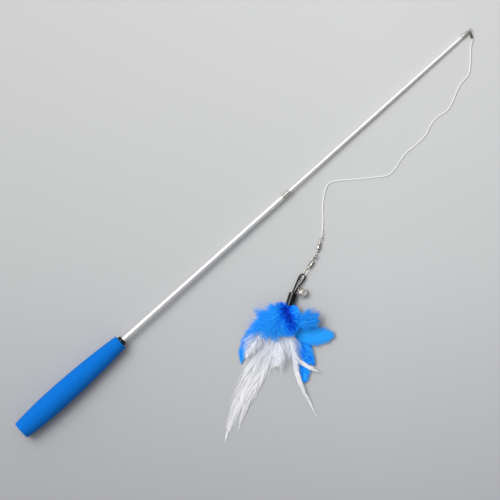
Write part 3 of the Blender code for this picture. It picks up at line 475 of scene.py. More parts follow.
fit(turned("neck_with_rings", neck), WAND, satin_nickel, "handle", "neck_collar")


# The thin tube slides in the thick one, and is of the same steel. A slit spring sleeve of brass on its tail
# grips the thick tube, and holds it wherever it is left.
THIN_RADIUS = 1.8
THIN_BORE = 1.45
THIN_SHOWN = 253
SPRING_BEHIND_NECK = 0.5
SPRING_LENGTH = 14
TAIL_LENGTH = 1.5
FERRULE_DEPTH = 8.5

ferrule_back = neck_front + THIN_SHOWN
ferrule_wall = ferrule_back + FERRULE_DEPTH
thin_tail = spigot_back - SPRING_BEHIND_NECK - SPRING_LENGTH - TAIL_LENGTH
thin_front = ferrule_wall - FIXED_GAP
thin_tube = turned("tube_thin", eased(tube(thin_tail, thin_front, THIN_RADIUS, THIN_BORE), 0.15))
fit(thin_tube, WAND, drawn_steel, "rod", "inner_tube")

spring_brass = new_finish("spring_brass", 0.3, metallic=1.0)
rubbing = grain(spring_brass, (60, 900, 900), 3.0)
tint(spring_brass, rubbing, [(0.3, (0.58, 0.38, 0.13)), (0.7, (0.80, 0.60, 0.27))])
polish(spring_brass, rubbing, 0.2, 0.4)
dress("friction_sleeve", spring_brass)


# A plated cap is pressed over the thin tube's end, with a shallow groove rolled in near its back. The shank
# of an eye of plated wire goes through its front wall. The shank's rivet head is hidden and isn't drawn.
FERRULE_LENGTH = 10.6
FERRULE_RADIUS = 2.15
FERRULE_BORE = THIN_RADIUS + 0.1
EYE_RADIUS = 1.5
EYE_WIRE = 0.4
SHANK_INSIDE = 0.9

ferrule_front = ferrule_back + FERRULE_LENGTH
hole = EYE_WIRE + 0.1
ferrule = [
    (ferrule_back, FERRULE_BORE), (ferrule_back, FERRULE_RADIUS - 0.1), (ferrule_back + 0.2, FERRULE_RADIUS),
    (ferrule_back + 1.6, FERRULE_RADIUS), (ferrule_back + 1.8, FERRULE_RADIUS - 0.12),
    (ferrule_back + 2.1, FERRULE_RADIUS - 0.12), (ferrule_back + 2.3, FERRULE_RADIUS),
    (ferrule_front - 0.7, FERRULE_RADIUS), (ferrule_front - 0.3, FERRULE_RADIUS - 0.15),
    (ferrule_front, FERRULE_RADIUS - 0.6), (ferrule_front, hole), (ferrule_wall, hole),
    (ferrule_wall, FERRULE_BORE),
]
fit(turned("cap_on_tip", eased(ferrule, 0.1)), WAND, satin_nickel, "rod", "tip_ferrule")


def ring_route(centre, radius, plane="xy", steps=40):
    """A circle round a point on X, flat or standing up."""
    turns = np.linspace(0, math.tau, steps, endpoint=False)
    across, level = radius * np.sin(turns), np.zeros(steps)
    other = (across, level) if plane == "xy" else (level, across)
    return np.stack([centre + radius * np.cos(turns), *other], axis=1)


def join_meshes(*parts):
    """One set of corners, faces and places from several."""
    corners, faces, places = [], [], []
    for part_corners, part_faces, part_places in parts:
        first = len(corners)
        corners += [tuple(corner) for corner in part_corners]
        faces += [tuple(first + k for k in face) for face in part_faces]
        places += list(part_places)
    return corners, faces, places


eye_centre = ferrule_front + EYE_RADIUS + EYE_WIRE
shank = [(ferrule_wall - SHANK_INSIDE, 0, 0), (eye_centre - EYE_RADIUS, 0, 0)]
eye_parts = [sweep(ring_route(eye_centre, EYE_RADIUS), EYE_WIRE, closed=True), sweep(shank, EYE_WIRE)]
fit(mesh_piece("eye_on_tip", *join_meshes(*eye_parts)), WAND, satin_nickel, "rod", "tip_eye")


# A loop of blackened wire hooks on the eye, and a crimp closes it on the string's end. The string is knotted
# hard under the crimp.
CLIP = stand((0.329237, 0.095762, 0.002109), heading=242.4, pitch=4)
CLIP_WIRE = 0.3
CLIP_NOSE = 0.55
CLIP_NOSE_RADIUS = 1.2
CRIMP_START = 4.1
CRIMP_LENGTH = 5.0
CRIMP_RADIUS = 1.3
CRIMP_MOUTH = 1.04
CRIMP_BORE = 0.85
CRIMP_PINCHED = 1.16
KNOT_RADIUS = 1.15
KNOT_SIZE = 0.24
KNOT_CORD = 0.42

dark_metal = new_finish("blackened_wire", 0.36, metallic=0.9)
blacking = grain(dark_metal, (1500, 1500, 1500), 4.0)
bare_spots = (0.78, (0.3, 0.29, 0.28))
tint(dark_metal, blacking, [(0.35, (0.075, 0.072, 0.07)), (0.62, (0.13, 0.125, 0.12)), bare_spots])
polish(dark_metal, blacking, 0.28, 0.46)
relief(dark_metal, blacking, 0.02)


def teardrop(nose, nose_radius, waist, end, half_gap):
    """A loop in the XZ plane: round at its nose, then two strands side by side."""
    centre = nose + nose_radius
    turns = np.linspace(math.pi / 2, 3 * math.pi / 2, 17)
    round_nose = [(centre + nose_radius * math.cos(a), 0, nose_radius * math.sin(a)) for a in turns]
    below = [(centre + 0.9, 0, -nose_radius * 0.86), (waist, 0, -half_gap)]
    above = [(waist, 0, half_gap), (centre + 0.9, 0, nose_radius * 0.86)]
    return round_nose + below + [(end, 0, -half_gap), (end + 0.3, 0, 0), (end, 0, half_gap)] + above


clip_route = teardrop(CLIP_NOSE, CLIP_NOSE_RADIUS, CRIMP_START - 0.1, CRIMP_START + 2.1, CLIP_WIRE + 0.1)
clip_wire = mesh_piece("clip_wire", *sweep(clip_route, CLIP_WIRE, closed=True))
fit(clip_wire, CLIP, dark_metal, "cord", "clip_loop")

crimp_end = CRIMP_START + CRIMP_LENGTH
crimp = [(CRIMP_START, CRIMP_BORE), (CRIMP_START, CRIMP_MOUTH), (CRIMP_START + 0.9, CRIMP_RADIUS)]
for k in range(3):
    pinch = CRIMP_START + 1.5 + k
    crimp += [(pinch, CRIMP_RADIUS), (pinch + 0.2, CRIMP_PINCHED)]
    crimp += [(pinch + 0.4, CRIMP_PINCHED), (pinch + 0.6, CRIMP_RADIUS)]
crimp += [(crimp_end - 0.6, CRIMP_RADIUS), (crimp_end, CRIMP_MOUTH), (crimp_end, CRIMP_BORE)]
fit(turned("clip_crimped", eased(crimp, 0.12), 32), CLIP, dark_metal, "cord", "clip_crimp")


def knot_route(centre, size):
    """An overhand knot pulled tight round its own line."""
    turns = np.linspace(0, math.tau, 72, endpoint=False)
    x = -np.sin(3 * turns) * 1.1
    y = np.sin(turns) + 2 * np.sin(2 * turns)
    z = np.cos(turns) - 2 * np.cos(2 * turns)
    return np.stack([centre + x * size, y * size, z * size], axis=1)


knot = sweep(knot_route(crimp_end + FIXED_GAP + KNOT_RADIUS, KNOT_SIZE), KNOT_CORD, closed=True)
fit(mesh_piece("knot_at_tip", *knot, crease=None), CLIP, white_cord, "cord", "tip_knot")


# The string's other end goes through the swivel's eye and back, and is knotted behind it.
SWIVEL_AT = (0.054222, 0.033262, 0.00275)
TIE = stand(SWIVEL_AT, heading=39)
TIE_CORD = 0.5
TIE_NOSE = 0.2
TIE_NOSE_RADIUS = 1.2
TIE_WAIST = 3.8
TIE_KNOT_AT = 6.0
TIE_KNOT_SIZE = 0.28
TIE_KNOT_CORD = 0.46

tie_route = teardrop(TIE_NOSE, TIE_NOSE_RADIUS, TIE_WAIST, TIE_WAIST, TIE_CORD + 0.1)
tie = sweep(tie_route, TIE_CORD, closed=True)
fit(mesh_piece("tie_through_eye", *tie, crease=None), TIE, white_cord, "cord", "swivel_tie")
knot = sweep(knot_route(TIE_KNOT_AT, TIE_KNOT_SIZE), TIE_KNOT_CORD, closed=True)
fit(mesh_piece("knot_at_swivel", *knot, crease=None), TIE, white_cord, "cord", "swivel_knot")


# The barrel swivel is turned from brass and nickel plated. The shank of each wire eye ends inside it, where
# it can spin. The heads that hold the shanks are hidden and aren't drawn.
SWIVEL = stand(SWIVEL_AT, heading=210.8)
BARREL_START = 3.4
BARREL_END = 15.0
BARREL_RADIUS = 1.75
BARREL_NECK = 1.25
BARREL_WALL = 0.35
BARREL_BORE = 0.9
BARREL_HOLE = 0.5

# Painted reflection: the dark brown spots in the plate's tint stand in for dark things that the bright plate
# reflects
nickel = new_finish("bright_nickel_plate", 0.14, metallic=0.9)
plating = grain(nickel, (900, 900, 900), 5.0)
tint(nickel, plating, [(0.4, (0.20, 0.17, 0.145)), (0.52, (0.46, 0.42, 0.38)), (0.66, (0.84, 0.81, 0.77))])
polish(nickel, plating, 0.08, 0.18)
relief(nickel, plating, 0.004)


def swivel_eye(name, centre, radius, gauge, inward, node, body):
    """A wire eye of the swivel, with its shank and the turn of wire round the shank. inward is 1 or -1."""
    inside = BARREL_START + 0.8 if inward > 0 else BARREL_END - 0.8
    collar_at = centre + inward * (radius + gauge)
    parts = [
        sweep(ring_route(centre, radius), gauge, closed=True),
        sweep([(centre + inward * radius, 0, 0), (inside, 0, 0)], gauge),
        sweep([(collar_at, 0, 0), (collar_at + inward * 0.5, 0, 0)], gauge * 1.35),
    ]
    fit(mesh_piece(name, *join_meshes(*parts)), SWIVEL, nickel, body, node)


swivel_eye("eye_for_string", 0, 1.5, 0.35, 1, "swivel_top_eye", "cord")
swivel_eye("eye_for_snap", 20.4, 1.9, 0.4, -1, "swivel_bottom_eye", "lower_eye")

third = (BARREL_END - BARREL_START) / 3
barrel = [
    (BARREL_START, BARREL_HOLE), (BARREL_START, 1.0), (BARREL_START + BARREL_WALL, BARREL_NECK),
    (BARREL_START + third * 0.7, BARREL_NECK), (BARREL_START + third * 0.8, BARREL_NECK + 0.1),
    (BARREL_START + third * 0.95, BARREL_RADIUS - 0.08), (BARREL_START + third * 1.15, BARREL_RADIUS),
]
barrel += [(BARREL_START + BARREL_END - x, radius) for x, radius in reversed(barrel)]
barrel += [
    (BARREL_END - BARREL_WALL, BARREL_HOLE), (BARREL_END - BARREL_WALL, BARREL_BORE),
    (BARREL_START + BARREL_WALL, BARREL_BORE), (BARREL_START + BARREL_WALL, BARREL_HOLE),
]
barrel_piece = turned("swivel_turned_barrel", eased(barrel, 0.15), 40)
fit(barrel_piece, SWIVEL, nickel, "barrel", "swivel_barrel")


# The snap is one length of spring wire: a ring on the swivel, a leg through a folded cuff, a round bend, and
# a springy leg that comes back to close on the cuff. It leans over as it lies.
SNAP = stand((0.036699, 0.022816, 0.00275), heading=194.4, roll=-35)
GATE = stand((0.008286, 0.014455, 0.004224), heading=194.4, roll=-35)
SNAP_WIRE = 0.35
SNAP_HALF = 1.8
SNAP_BEND = 29.6
SNAP_RING = 1.6
SNAP_RING_AT = 2.6
CUFF_START = 5.5
CUFF_END = 14.5
CUFF_HALF_WIDTH = 1.0
CUFF_HALF_HEIGHT = 2.4
CUFF_WALL = 0.35
CUFF_CORNER = 0.85
CUFF_CORNER_INSIDE = 0.55
CUFF_STATIONS = 12
CUFF_WAIST = 0.06

ring_turns = np.radians(np.linspace(-390, -90, 37))
snap_route = [(SNAP_RING_AT + SNAP_RING * math.cos(a), 0, SNAP_RING * math.sin(a)) for a in ring_turns]
snap_route += [(x, 0, -SNAP_RING) for x in (CUFF_START, 10, CUFF_END)]
snap_route += [(20, 0, -1.68), (25, 0, -1.76)]
bend = np.radians(np.linspace(-90, 90, 21))
snap_route += [(SNAP_BEND + SNAP_HALF * math.cos(a), 0, SNAP_HALF * math.sin(a)) for a in bend]
fit(mesh_piece("snap_of_wire", *sweep(snap_route, SNAP_WIRE)), SNAP, nickel, "snap", "snap_wire")

free_end = CUFF_END + FIXED_GAP - SNAP_BEND
leg = smooth_route([(-FIXED_GAP, 0, 0), (free_end / 2, 0, 0.3), (free_end, 0, 0)], 24)
fit(mesh_piece("snap_sprung_leg", *sweep(leg, SNAP_WIRE)), GATE, nickel, "gate", "snap_gate")


def cuff_outline(half_width, half_height, corner):
    """Round a flattened tube with these half sides."""
    points = []
    for quarter, (w, h) in enumerate(((1, 1), (-1, 1), (-1, -1), (1, -1))):
        for k in range(7):
            turn = math.radians(90 * quarter + 15 * k)
            points.append((w * (half_width - corner) + corner * math.cos(turn),
                           h * (half_height - corner) + corner * math.sin(turn)))
    return points


outer = cuff_outline(CUFF_HALF_WIDTH, CUFF_HALF_HEIGHT, CUFF_CORNER)
inner = cuff_outline(CUFF_HALF_WIDTH - CUFF_WALL, CUFF_HALF_HEIGHT - CUFF_WALL, CUFF_CORNER_INSIDE)
cuff_rows = [(CUFF_START, inner), (CUFF_START, outer)]
for k in range(1, CUFF_STATIONS):
    waist = 1 - CUFF_WAIST * math.exp(-(((k - CUFF_STATIONS / 2) / 1.6) ** 2))
    x = CUFF_START + (CUFF_END - CUFF_START) * k / CUFF_STATIONS
    cuff_rows.append((x, [(w * waist, h) for w, h in outer]))
cuff_rows += [(CUFF_END, outer), (CUFF_END, inner)]
corners = [(x, w, h) for x, shape in cuff_rows for w, h in shape]
around = len(outer)
faces = []
for row in range(len(cuff_rows)):
    after = (row + 1) % len(cuff_rows)
    for k in range(around):
        m = (k + 1) % around
        faces.append((row * around + k, row * around + m, after * around + m, after * around + k))
fit(mesh_piece("snap_folded_cuff", corners, faces), SNAP, nickel, "snap", "snap_cuff")


# The lure hangs from a loop of waxed black cord. Both its ends are glued into a glossy black sleeve, with
# the quills, and a plug of thread and glue between them.
LOOP_HEADING = 198.8
LOOP_HEIGHT = 2.75
LOOP = stand((0.014422, 0.017096, LOOP_HEIGHT * MM), heading=LOOP_HEADING)
LURE_HEADING = 210.7
SLEEVE_HEIGHT = 4.7
LURE = stand((-0.018495, 0.003211, SLEEVE_HEIGHT * MM), heading=LURE_HEADING)
# How far each strand runs out to its side, at distances from the snap
LOOP_HALF_WIDTHS = [(1.2, 2.2), (3.5, 2.9), (8, 2.8), (13, 2.2), (18, 1.5), (22.5, 1.1)]
LOOP_LENGTH = 23.6
LOOP_SUNK = 5.3
LOOP_SUNK_HALF_GAP = 1.05
LOOP_CORD = 0.9
# The snap's wire presses the cord thinner over this stretch
LOOP_CORD_ON_SNAP = 0.66
PRESSED_TO = 1
PRESSED_FADES_OVER = 2.5
SLEEVE_RADIUS = 4.65
SLEEVE_WALL = 0.5
SLEEVE_START = -12.3
SLEEVE_END = 2.0


def smooth_step(t):
    """0 up to t = 0, 1 from t = 1 on, and an even climb between."""
    t = np.clip(t, 0, 1)
    return t * t * (3 - 2 * t)


def loop_strand(side):
    """One half of the loop, from the snap into the sleeve. side is 1 or -1."""
    climb = SLEEVE_HEIGHT - LOOP_HEIGHT
    strand = [(x, side * half, climb * smooth_step(x / LOOP_LENGTH)) for x, half in LOOP_HALF_WIDTHS]
    into = math.radians(LURE_HEADING - LOOP_HEADING)
    out = side * LOOP_SUNK_HALF_GAP
    for depth in (0.25 * LOOP_SUNK, LOOP_SUNK):
        x = LOOP_LENGTH + depth * math.cos(into) - out * math.sin(into)
        strand.append((x, depth * math.sin(into) + out * math.cos(into), climb))
    return strand


waxed_cord = new_finish("black_waxed_cord", 0.5, gloss=0.15)
weave = braid(waxed_cord, pitch=1.6, strands=4)
# Painted shade: the cord's colour is darker in the grooves between the strands of the braid
tint(waxed_cord, weave, [(0.0, (0.002, 0.002, 0.0022)), (1.0, (0.007, 0.007, 0.0075))])
relief(waxed_cord, weave, 0.05)
loop_route = smooth_route([*reversed(loop_strand(-1)), (0, 0, 0), *loop_strand(1)], 140)
away_from_snap = smooth_step((loop_route[:, 0] - PRESSED_TO) / PRESSED_FADES_OVER)
cord_radii = LOOP_CORD_ON_SNAP + (LOOP_CORD - LOOP_CORD_ON_SNAP) * away_from_snap
lure_loop = mesh_piece("loop_of_cord", *sweep(loop_route, cord_radii, 16), crease=None)
fit(lure_loop, LOOP, waxed_cord, "lure", "lure_loop")

glossy = new_finish("glossy_black_sleeve", 0.1, gloss=0.35)
shrinking = grain(glossy, (120, 420, 420), 2.0)
tint(glossy, shrinking, [(0.3, (0.001, 0.001, 0.001)), (0.7, (0.003, 0.003, 0.003))])
polish(glossy, shrinking, 0.05, 0.09)
relief(glossy, shrinking, 0.01)
sleeve = tube(SLEEVE_START, SLEEVE_END, SLEEVE_RADIUS, SLEEVE_RADIUS - SLEEVE_WALL)
fit(turned("sleeve_on_quills", eased(sleeve, 0.25), 64), LURE, glossy, "lure", "lure_sleeve")

thread = new_finish("thread_in_glue", 0.6)
turns_of_thread = grain(thread, (2600, 300, 300), 2.0)
tint(thread, turns_of_thread, [(0.35, (0.16, 0.14, 0.11)), (0.65, (0.36, 0.33, 0.28))])
relief(thread, turns_of_thread, 0.1)
dress("quill_binding", thread)


# The bell is two cups pressed from thin steel, rolled together at a seam and plated. The lower one has two
# crossed slots with round ends, and the upper carries a bent staple on a ring round the loop's cord.
BELL = stand((-0.000069, 0.010282, 0.004212), heading=268.7, pitch=-9.63)
BELL_RADIUS = 5.0
BELL_CENTRE = 7.4
BELL_WALL = 0.4
BELL_HOLE = 1.8
BELL_RING_RADIUS = 1.7
BELL_RING_WIRE = 0.35
STAPLE_HALF = 1.2
STAPLE_WIRE = 0.3
SEAM_HALF = 0.45
SEAM_GAP = 0.15
SLOT_HALF_WIDTH = 0.4
SLOT_REACH = 3.6
SLOT_END_RADIUS = 0.75
# The saw and the drill cut from and to so far past the bell's centre
SAW_FROM, SAW_TO = 1.3, 7.5
DRILL_FROM, DRILL_TO = 1.0, 7.7

bell_plate = new_finish("plated_bell_steel", 0.14, metallic=0.75)
# The plate's tint has brown patches at random, and is nearly white between them
brown_patches = grain(bell_plate, (320, 320, 320), 4.0)
palest_plate = (0.55, (0.98, 0.97, 0.95))
tint(bell_plate, brown_patches, [(0.36, (0.36, 0.28, 0.20)), (0.45, (0.80, 0.76, 0.70)), palest_plate])
polish(bell_plate, brown_patches, 0.1, 0.24)
relief(bell_plate, brown_patches, 0.02)

bell_ring = sweep(ring_route(BELL_RING_WIRE, BELL_RING_RADIUS, "xz"), BELL_RING_WIRE, closed=True)
fit(mesh_piece("ring_of_bell", *bell_ring), BELL, nickel, "bell", "bell_ring")

pole = BELL_CENTRE - BELL_RADIUS
half_turn = np.linspace(0, math.pi, 17)
arch = [(pole - STAPLE_HALF * math.sin(a), STAPLE_HALF * math.cos(a), 0) for a in half_turn]
legs = [(pole + 1.7, 2.0, 0), (pole + 1.275, 1.38, 0), (pole + 0.68, STAPLE_HALF, 0)]
staple = [*legs, *arch, *((x, -y, 0) for x, y, _ in reversed(legs))]
fit(mesh_piece("staple_of_bell", *sweep(staple, STAPLE_WIRE)), BELL, nickel, "bell", "bell_staple")


def cup_arc(radius, start, end, steps):
    """The profile of a cup between two angles from its pole."""
    turns = np.linspace(start, end, steps + 1)
    return [(BELL_CENTRE - radius * math.cos(a), max(radius * math.sin(a), 0)) for a in turns]


bore = BELL_RADIUS - BELL_WALL
rim_outside = math.acos((SEAM_HALF + SEAM_GAP) / BELL_RADIUS)
rim_inside = math.acos(SEAM_GAP / bore)
rim = []
for turn in np.linspace(math.pi * 0.95, 0, 7):
    bead = SEAM_HALF / 2 * math.cos(turn)
    proud = 0.37 * math.sin(turn) ** 0.5 - 0.02
    rim.append((BELL_CENTRE - SEAM_GAP - SEAM_HALF / 2 + bead, BELL_RADIUS + proud))
upper = cup_arc(BELL_RADIUS, math.asin(BELL_HOLE / BELL_RADIUS), rim_outside, 18) + rim
upper += cup_arc(bore, rim_inside, math.asin(BELL_HOLE / bore), 14)
upper_cup = turned("upper_cup_of_bell", upper, 72)
fit(upper_cup, BELL, bell_plate, "bell", "bell_top_shell")


def cut_away(obj, *tools):
    """Cuts the tools out of a piece, and throws them away."""
    for tool in tools:
        step = obj.modifiers.new(tool.name, "BOOLEAN")
        step.operation = "DIFFERENCE"
        step.object = tool
    bpy.context.view_layer.update()
    cut = bpy.data.meshes.new_from_object(obj.evaluated_get(bpy.context.evaluated_depsgraph_get()))
    obj.modifiers.clear()
    obj.data = cut
    for tool in tools:
        bpy.data.objects.remove(tool)
    obj.data.set_sharp_from_angle(angle=math.radians(35))


lower = cup_arc(BELL_RADIUS, 0, rim_outside, 22) + rim + cup_arc(bore, rim_inside, 0, 18)
lower = [(2 * BELL_CENTRE - x, radius) for x, radius in reversed(lower)]
lower_cup = turned("lower_cup_of_bell", lower, 72)
slot_cutters = []
for k in range(2):
    saw = bmesh.new()
    bmesh.ops.create_cube(saw, size=MM)
    bmesh.ops.scale(saw, verts=saw.verts, vec=(SAW_TO - SAW_FROM, 2 * SLOT_HALF_WIDTH, 2 * SLOT_REACH))
    saw_middle = BELL_CENTRE + (SAW_FROM + SAW_TO) / 2
    bmesh.ops.translate(saw, verts=saw.verts, vec=(saw_middle * MM, 0, 0))
    cutter = mesh_piece(f"saw_{k}", [], [])
    saw.to_mesh(cutter.data)
    saw.free()
    cutter.rotation_euler.x = math.pi / 4 + k * math.pi / 2
    slot_cutters.append(cutter)
drill_section = [
    (BELL_CENTRE + DRILL_FROM, 0), (BELL_CENTRE + DRILL_FROM, SLOT_END_RADIUS),
    (BELL_CENTRE + DRILL_TO, SLOT_END_RADIUS), (BELL_CENTRE + DRILL_TO, 0),
]
for k in range(4):
    turn = math.pi / 4 + k * math.pi / 2
    drill = turned(f"drill_{k}", drill_section, 24)
    drill.location = (0, SLOT_REACH * math.cos(turn) * MM, SLOT_REACH * math.sin(turn) * MM)
    slot_cutters.append(drill)
cut_away(lower_cup, *slot_cutters)
fit(lower_cup, BELL, bell_plate, "bell", "bell_bottom_shell")

dress("bell_pellet", nickel)


# Fourteen feathers are laid one on the next in a fan, with their quills in the sleeve: two long white
# hackles, four dyed blue vanes, two thin white hackles, three frayed white feathers, and three of blue down
# on top, which make a thick puff.
#
# Each row: piece, its CAD node, colour, kind, route in mm from the sleeve's end, half width, thickness, where
# it is widest, how sharp its tip is, how light its colour is, and what it does otherwise than its kind.
Feather = namedtuple(
    "Feather", "piece node colour kind route half_width thick widest sharpness lightness otherwise",
)
FEATHERS = [Feather(*row) for row in [
    ("hackle_long", "white_hackle_long", "white", "hackle",
     [(60, -13), (100, -20), (140, -23), (166, -22)], 7, 0.5, 0.4, 1, 0.0, dict(left=1.15, right=1.3)),
    ("hackle_second", "white_hackle_second", "white", "hackle",
     [(60, -4), (100, -9), (130, -12), (148, -12)], 6.5, 0.5, 0.4, 1, 0.0, dict(left=1.05, right=1.3)),
    ("vane_left", "blue_feather_left", "blue", "vane",
     [(20, -17), (40, -30), (62, -35), (80, -31)], 8, 0.5, 0.55, 0.8, 0.1,
     dict(right=0.72, ragged=0.2, stray=0.09, lock=4, pull=0.8, per_mm=3.4, tip_angle=20, taper=0.97)),
    ("vane_lower", "blue_feather_lower", "blue", "vane",
     [(22, 8), (45, 24), (62, 34), (78, 41)], 7.5, 0.5, 0.65, 0.4, 0.05, dict(left=1.25, right=1.2)),
    ("vane_lower_right", "blue_feather_lower_right", "blue", "vane",
     [(20, 9), (37, 25), (49, 37), (57, 46)], 6, 0.5, 0.6, 0.7, 0.0, dict(left=1.45, shaft=0.5)),
    ("vane_right", "blue_feather_right", "blue", "vane",
     [(14, 7), (25, 20), (25, 38), (18, 56)], 11, 0.5, 0.62, 0.55, 0.4,
     dict(root_angle=30, tip_angle=15, shaft=0.12, ragged=0.07, each_tone=0.14, streaks=0.12)),
    ("hackle_thin", "white_hackle_thin", "white", "hackle",
     [(32, 9), (56, 23), (78, 36), (109, 65)], 3.2, 0.5, 0.4, 0.9, 0.1, dict(left=0.85, right=0.85)),
    ("small_white", "white_feather_small", "white", "hackle",
     [(34, 11), (52, 21), (59, 36), (62, 53)], 2.8, 0.5, 0.7, 0.7, 0.1, dict(left=0.8, right=0.75)),
    ("fluff_left", "white_fluff_left", "white", "frayed",
     [(20, -11), (40, -20), (56, -26), (72, -28)], 11, 0.9, 0.55, 0.6, 0.4,
     dict(left=0.78, right=0.95, ragged=0.3, root_angle=46, tip_angle=24, bare=24, wave=0.25, width=0.17,
          stray=0.12, taper=0.97, per_mm=2.6, lock=3, pull=0.85, barbules=2, barbule_length=0.8)),
    ("fluff_middle", "white_fluff_middle", "white", "frayed",
     [(18, -2), (36, -1), (52, 3), (70, 7)], 13, 0.9, 0.5, 0.6, 0.55, dict(ragged=0.42)),
    ("fluff_right", "white_fluff_right", "white", "frayed",
     [(15, 3), (30, 7), (45, 15), (62, 28)], 7, 0.9, 0.5, 0.8, 0.5,
     dict(bare=26, left=1.45, per_mm=2.4, width=0.17, wave=0.3, ragged=0.3, root_angle=34, tip_angle=20,
          barbules=2, barbule_length=0.8)),
    ("down_left", "marabou_left", "blue", "down",
     [(9, -5), (18, -12), (28, -21), (36, -32)], 10.5, 1.8, 0.6, 0.5, 0.15,
     dict(lock=36, pull=0.8, ragged=0.12, sprays=900, fill=3.6, outline=[
         (-79, 10), (-71, 14), (-65, 33), (-58, 42), (-52, 47), (-45, 54), (-41, 59), (-36, 55), (-28, 48)])),
    ("down_right", "marabou_right", "blue", "down",
     [(8, 5), (13, 13), (12, 23), (6, 34)], 7.5, 1.8, 0.6, 0.5, 0.2,
     dict(left=1.35, ragged=0.45, lock=22, pull=0.95, per_mm=14, stray=0.3, bare=15, shaft=0.1)),
    ("down_top", "marabou_top", "blue", "down",
     [(10, -3), (20, -6), (31, -9), (43, -12)], 19, 2.6, 0.6, 0.45, 0.16,
     dict(ragged=0.045, sprays=1800, fill=3.6, lock=34, pull=0.3, shaft=0.1, taper=0.4, outline=[
         (-74, 12), (-62, 24), (-50, 36), (-40, 46), (-31, 47), (-20, 44), (-9, 41.5), (2, 38), (11, 34.5),
         (20, 32), (28, 29), (36, 24), (46, 18), (60, 14), (76, 9)])),
]]
# These bend down to the table from so far from the sleeve's end
DROOPS = {"white_hackle_second": 88, "white_hackle_thin": 84}
# Each kind, in mm and degrees: how many barbs to a mm grow on each side and to what share of the shaft, their
# half width, their angle to the shaft at its root and its tip, how far an angle strays, how ragged the edge
# is, how many barbs hang together in a lock and how hard it pulls them, how the tone of the locks (streaks)
# and of each barb differs, how far barbs wave, how high they stand (lift), how they tilt, how many barbules
# each has and how long these are, in how many steps a barb is drawn, how much quill is bare, how far a barb
# tapers, and the shaft's half width at its root. left and right scale the two sides. Down with an outline, in
# degrees and mm from the sleeve's end, has so many sprays, and the higher its fill is, the fewer of them fall
# short.
KINDS = {
    "hackle": dict(
        per_mm=1.9, barbed_to=0.99, width=0.25, root_angle=12, tip_angle=6, stray=0.12, ragged=0.16, lock=4,
        pull=0.6, streaks=0.2, each_tone=0.26, wave=0.3, lift=0.7, tilt=12, barbules=0, barbule_length=0,
        steps=10, bare=4, taper=0.9, shaft=0.24,
    ),
    "vane": dict(
        per_mm=4.5, barbed_to=0.99, width=0.2, root_angle=46, tip_angle=26, stray=0.03, ragged=0.04, lock=9,
        pull=0.3, streaks=0.07, each_tone=0.08, wave=0.1, lift=0.3, tilt=8, barbules=0, barbule_length=0,
        steps=6, bare=3, taper=0.85, shaft=0.26,
    ),
    "frayed": dict(
        per_mm=4.6, barbed_to=0.97, width=0.2, root_angle=38, tip_angle=16, stray=0.26, ragged=0.28, lock=4,
        pull=0.6, streaks=0.12, each_tone=0.22, wave=0.9, lift=1.2, tilt=14, barbules=9, barbule_length=1.2,
        steps=9, bare=3, taper=0.92, shaft=0.12,
    ),
    "down": dict(
        per_mm=12.0, barbed_to=0.95, width=0.17, root_angle=62, tip_angle=26, stray=0.26, ragged=0.16,
        lock=24, pull=0.6, streaks=0.06, each_tone=0.14, wave=2.4, lift=3.2, tilt=18, barbules=16,
        barbule_length=1.7, steps=9, bare=1, taper=0.85, shaft=0.14,
    ),
}
QUILL_START = -2.9
QUILL_PITCH = 0.56
QUILL_THICK = 0.4
SHAFT_START = 2.3
SHAFT_STATIONS = 240
LEAST_HALF_WIDTH = 0.3
# The quills leave the sleeve packed. Over this stretch they open into the layers of a fan
FAN_GAP = 0.3
FAN_OPENS_FROM = 1
FAN_OPENS_OVER = 19


def fan_heights(level, distance):
    """The underside and thickness of one feather of the fan, this far from the sleeve's end."""
    thick = [feather.thick for feather in FEATHERS]
    fan_bottom = sum(thick[:level]) + level * FAN_GAP
    packed = (len(FEATHERS) - 1) * QUILL_PITCH + QUILL_THICK
    quill_bottom = SLEEVE_HEIGHT - packed / 2 + level * QUILL_PITCH
    spread = smooth_step((distance - FAN_OPENS_FROM) / FAN_OPENS_OVER)
    bottom = quill_bottom + (fan_bottom - quill_bottom) * spread
    return bottom, QUILL_THICK + (thick[level] - QUILL_THICK) * spread


class Shaft:
    """A feather's shaft in the lure's frame, in mm."""

    def __init__(self, level, feather):
        self.level = level
        self.feather = feather
        route = [(SHAFT_START, 0, 0), *((x, y, 0) for x, y in feather.route)]
        self.line = smooth_route(route, SHAFT_STATIONS)[:, :2]
        self.run = np.gradient(self.line, axis=0)
        self.run /= np.linalg.norm(self.run, axis=1)[:, None]
        self.reach = np.concatenate([[0], np.cumsum(np.linalg.norm(np.diff(self.line, axis=0), axis=1))])
        self.length = self.reach[-1]
        self.droop_end = math.hypot(*feather.route[-1])

    def width_at(self, share):
        """The vane's half width at a share of the shaft's length."""
        widest, sharpness = self.feather.widest, self.feather.sharpness
        share = np.clip(share, 1e-4, 1 - 1e-4)
        rise = (share / widest) ** (sharpness * widest / (1 - widest))
        fall = ((1 - share) / (1 - widest)) ** sharpness
        return np.maximum(self.feather.half_width * rise * fall, LEAST_HALF_WIDTH)

    def spot(self, along, out):
        """A place on the fan, this far along the shaft and out to its left."""
        x, y = (np.interp(along, self.reach, self.line[:, k]) for k in range(2))
        run_x, run_y = (np.interp(along, self.reach, self.run[:, k]) for k in range(2))
        past = np.maximum(along - self.length, 0)
        return x + run_x * past - run_y * out, y + run_y * past + run_x * out

    def heights(self, x, y):
        """The underside and thickness of the feather's layer over a place."""
        distance = np.hypot(x, y)
        bottom, thick = fan_heights(self.level, np.copysign(distance, x))
        if self.feather.node in DROOPS:
            start = DROOPS[self.feather.node]
            bottom = bottom * (1 - smooth_step((distance - start) / (self.droop_end - start)))
        return bottom, thick


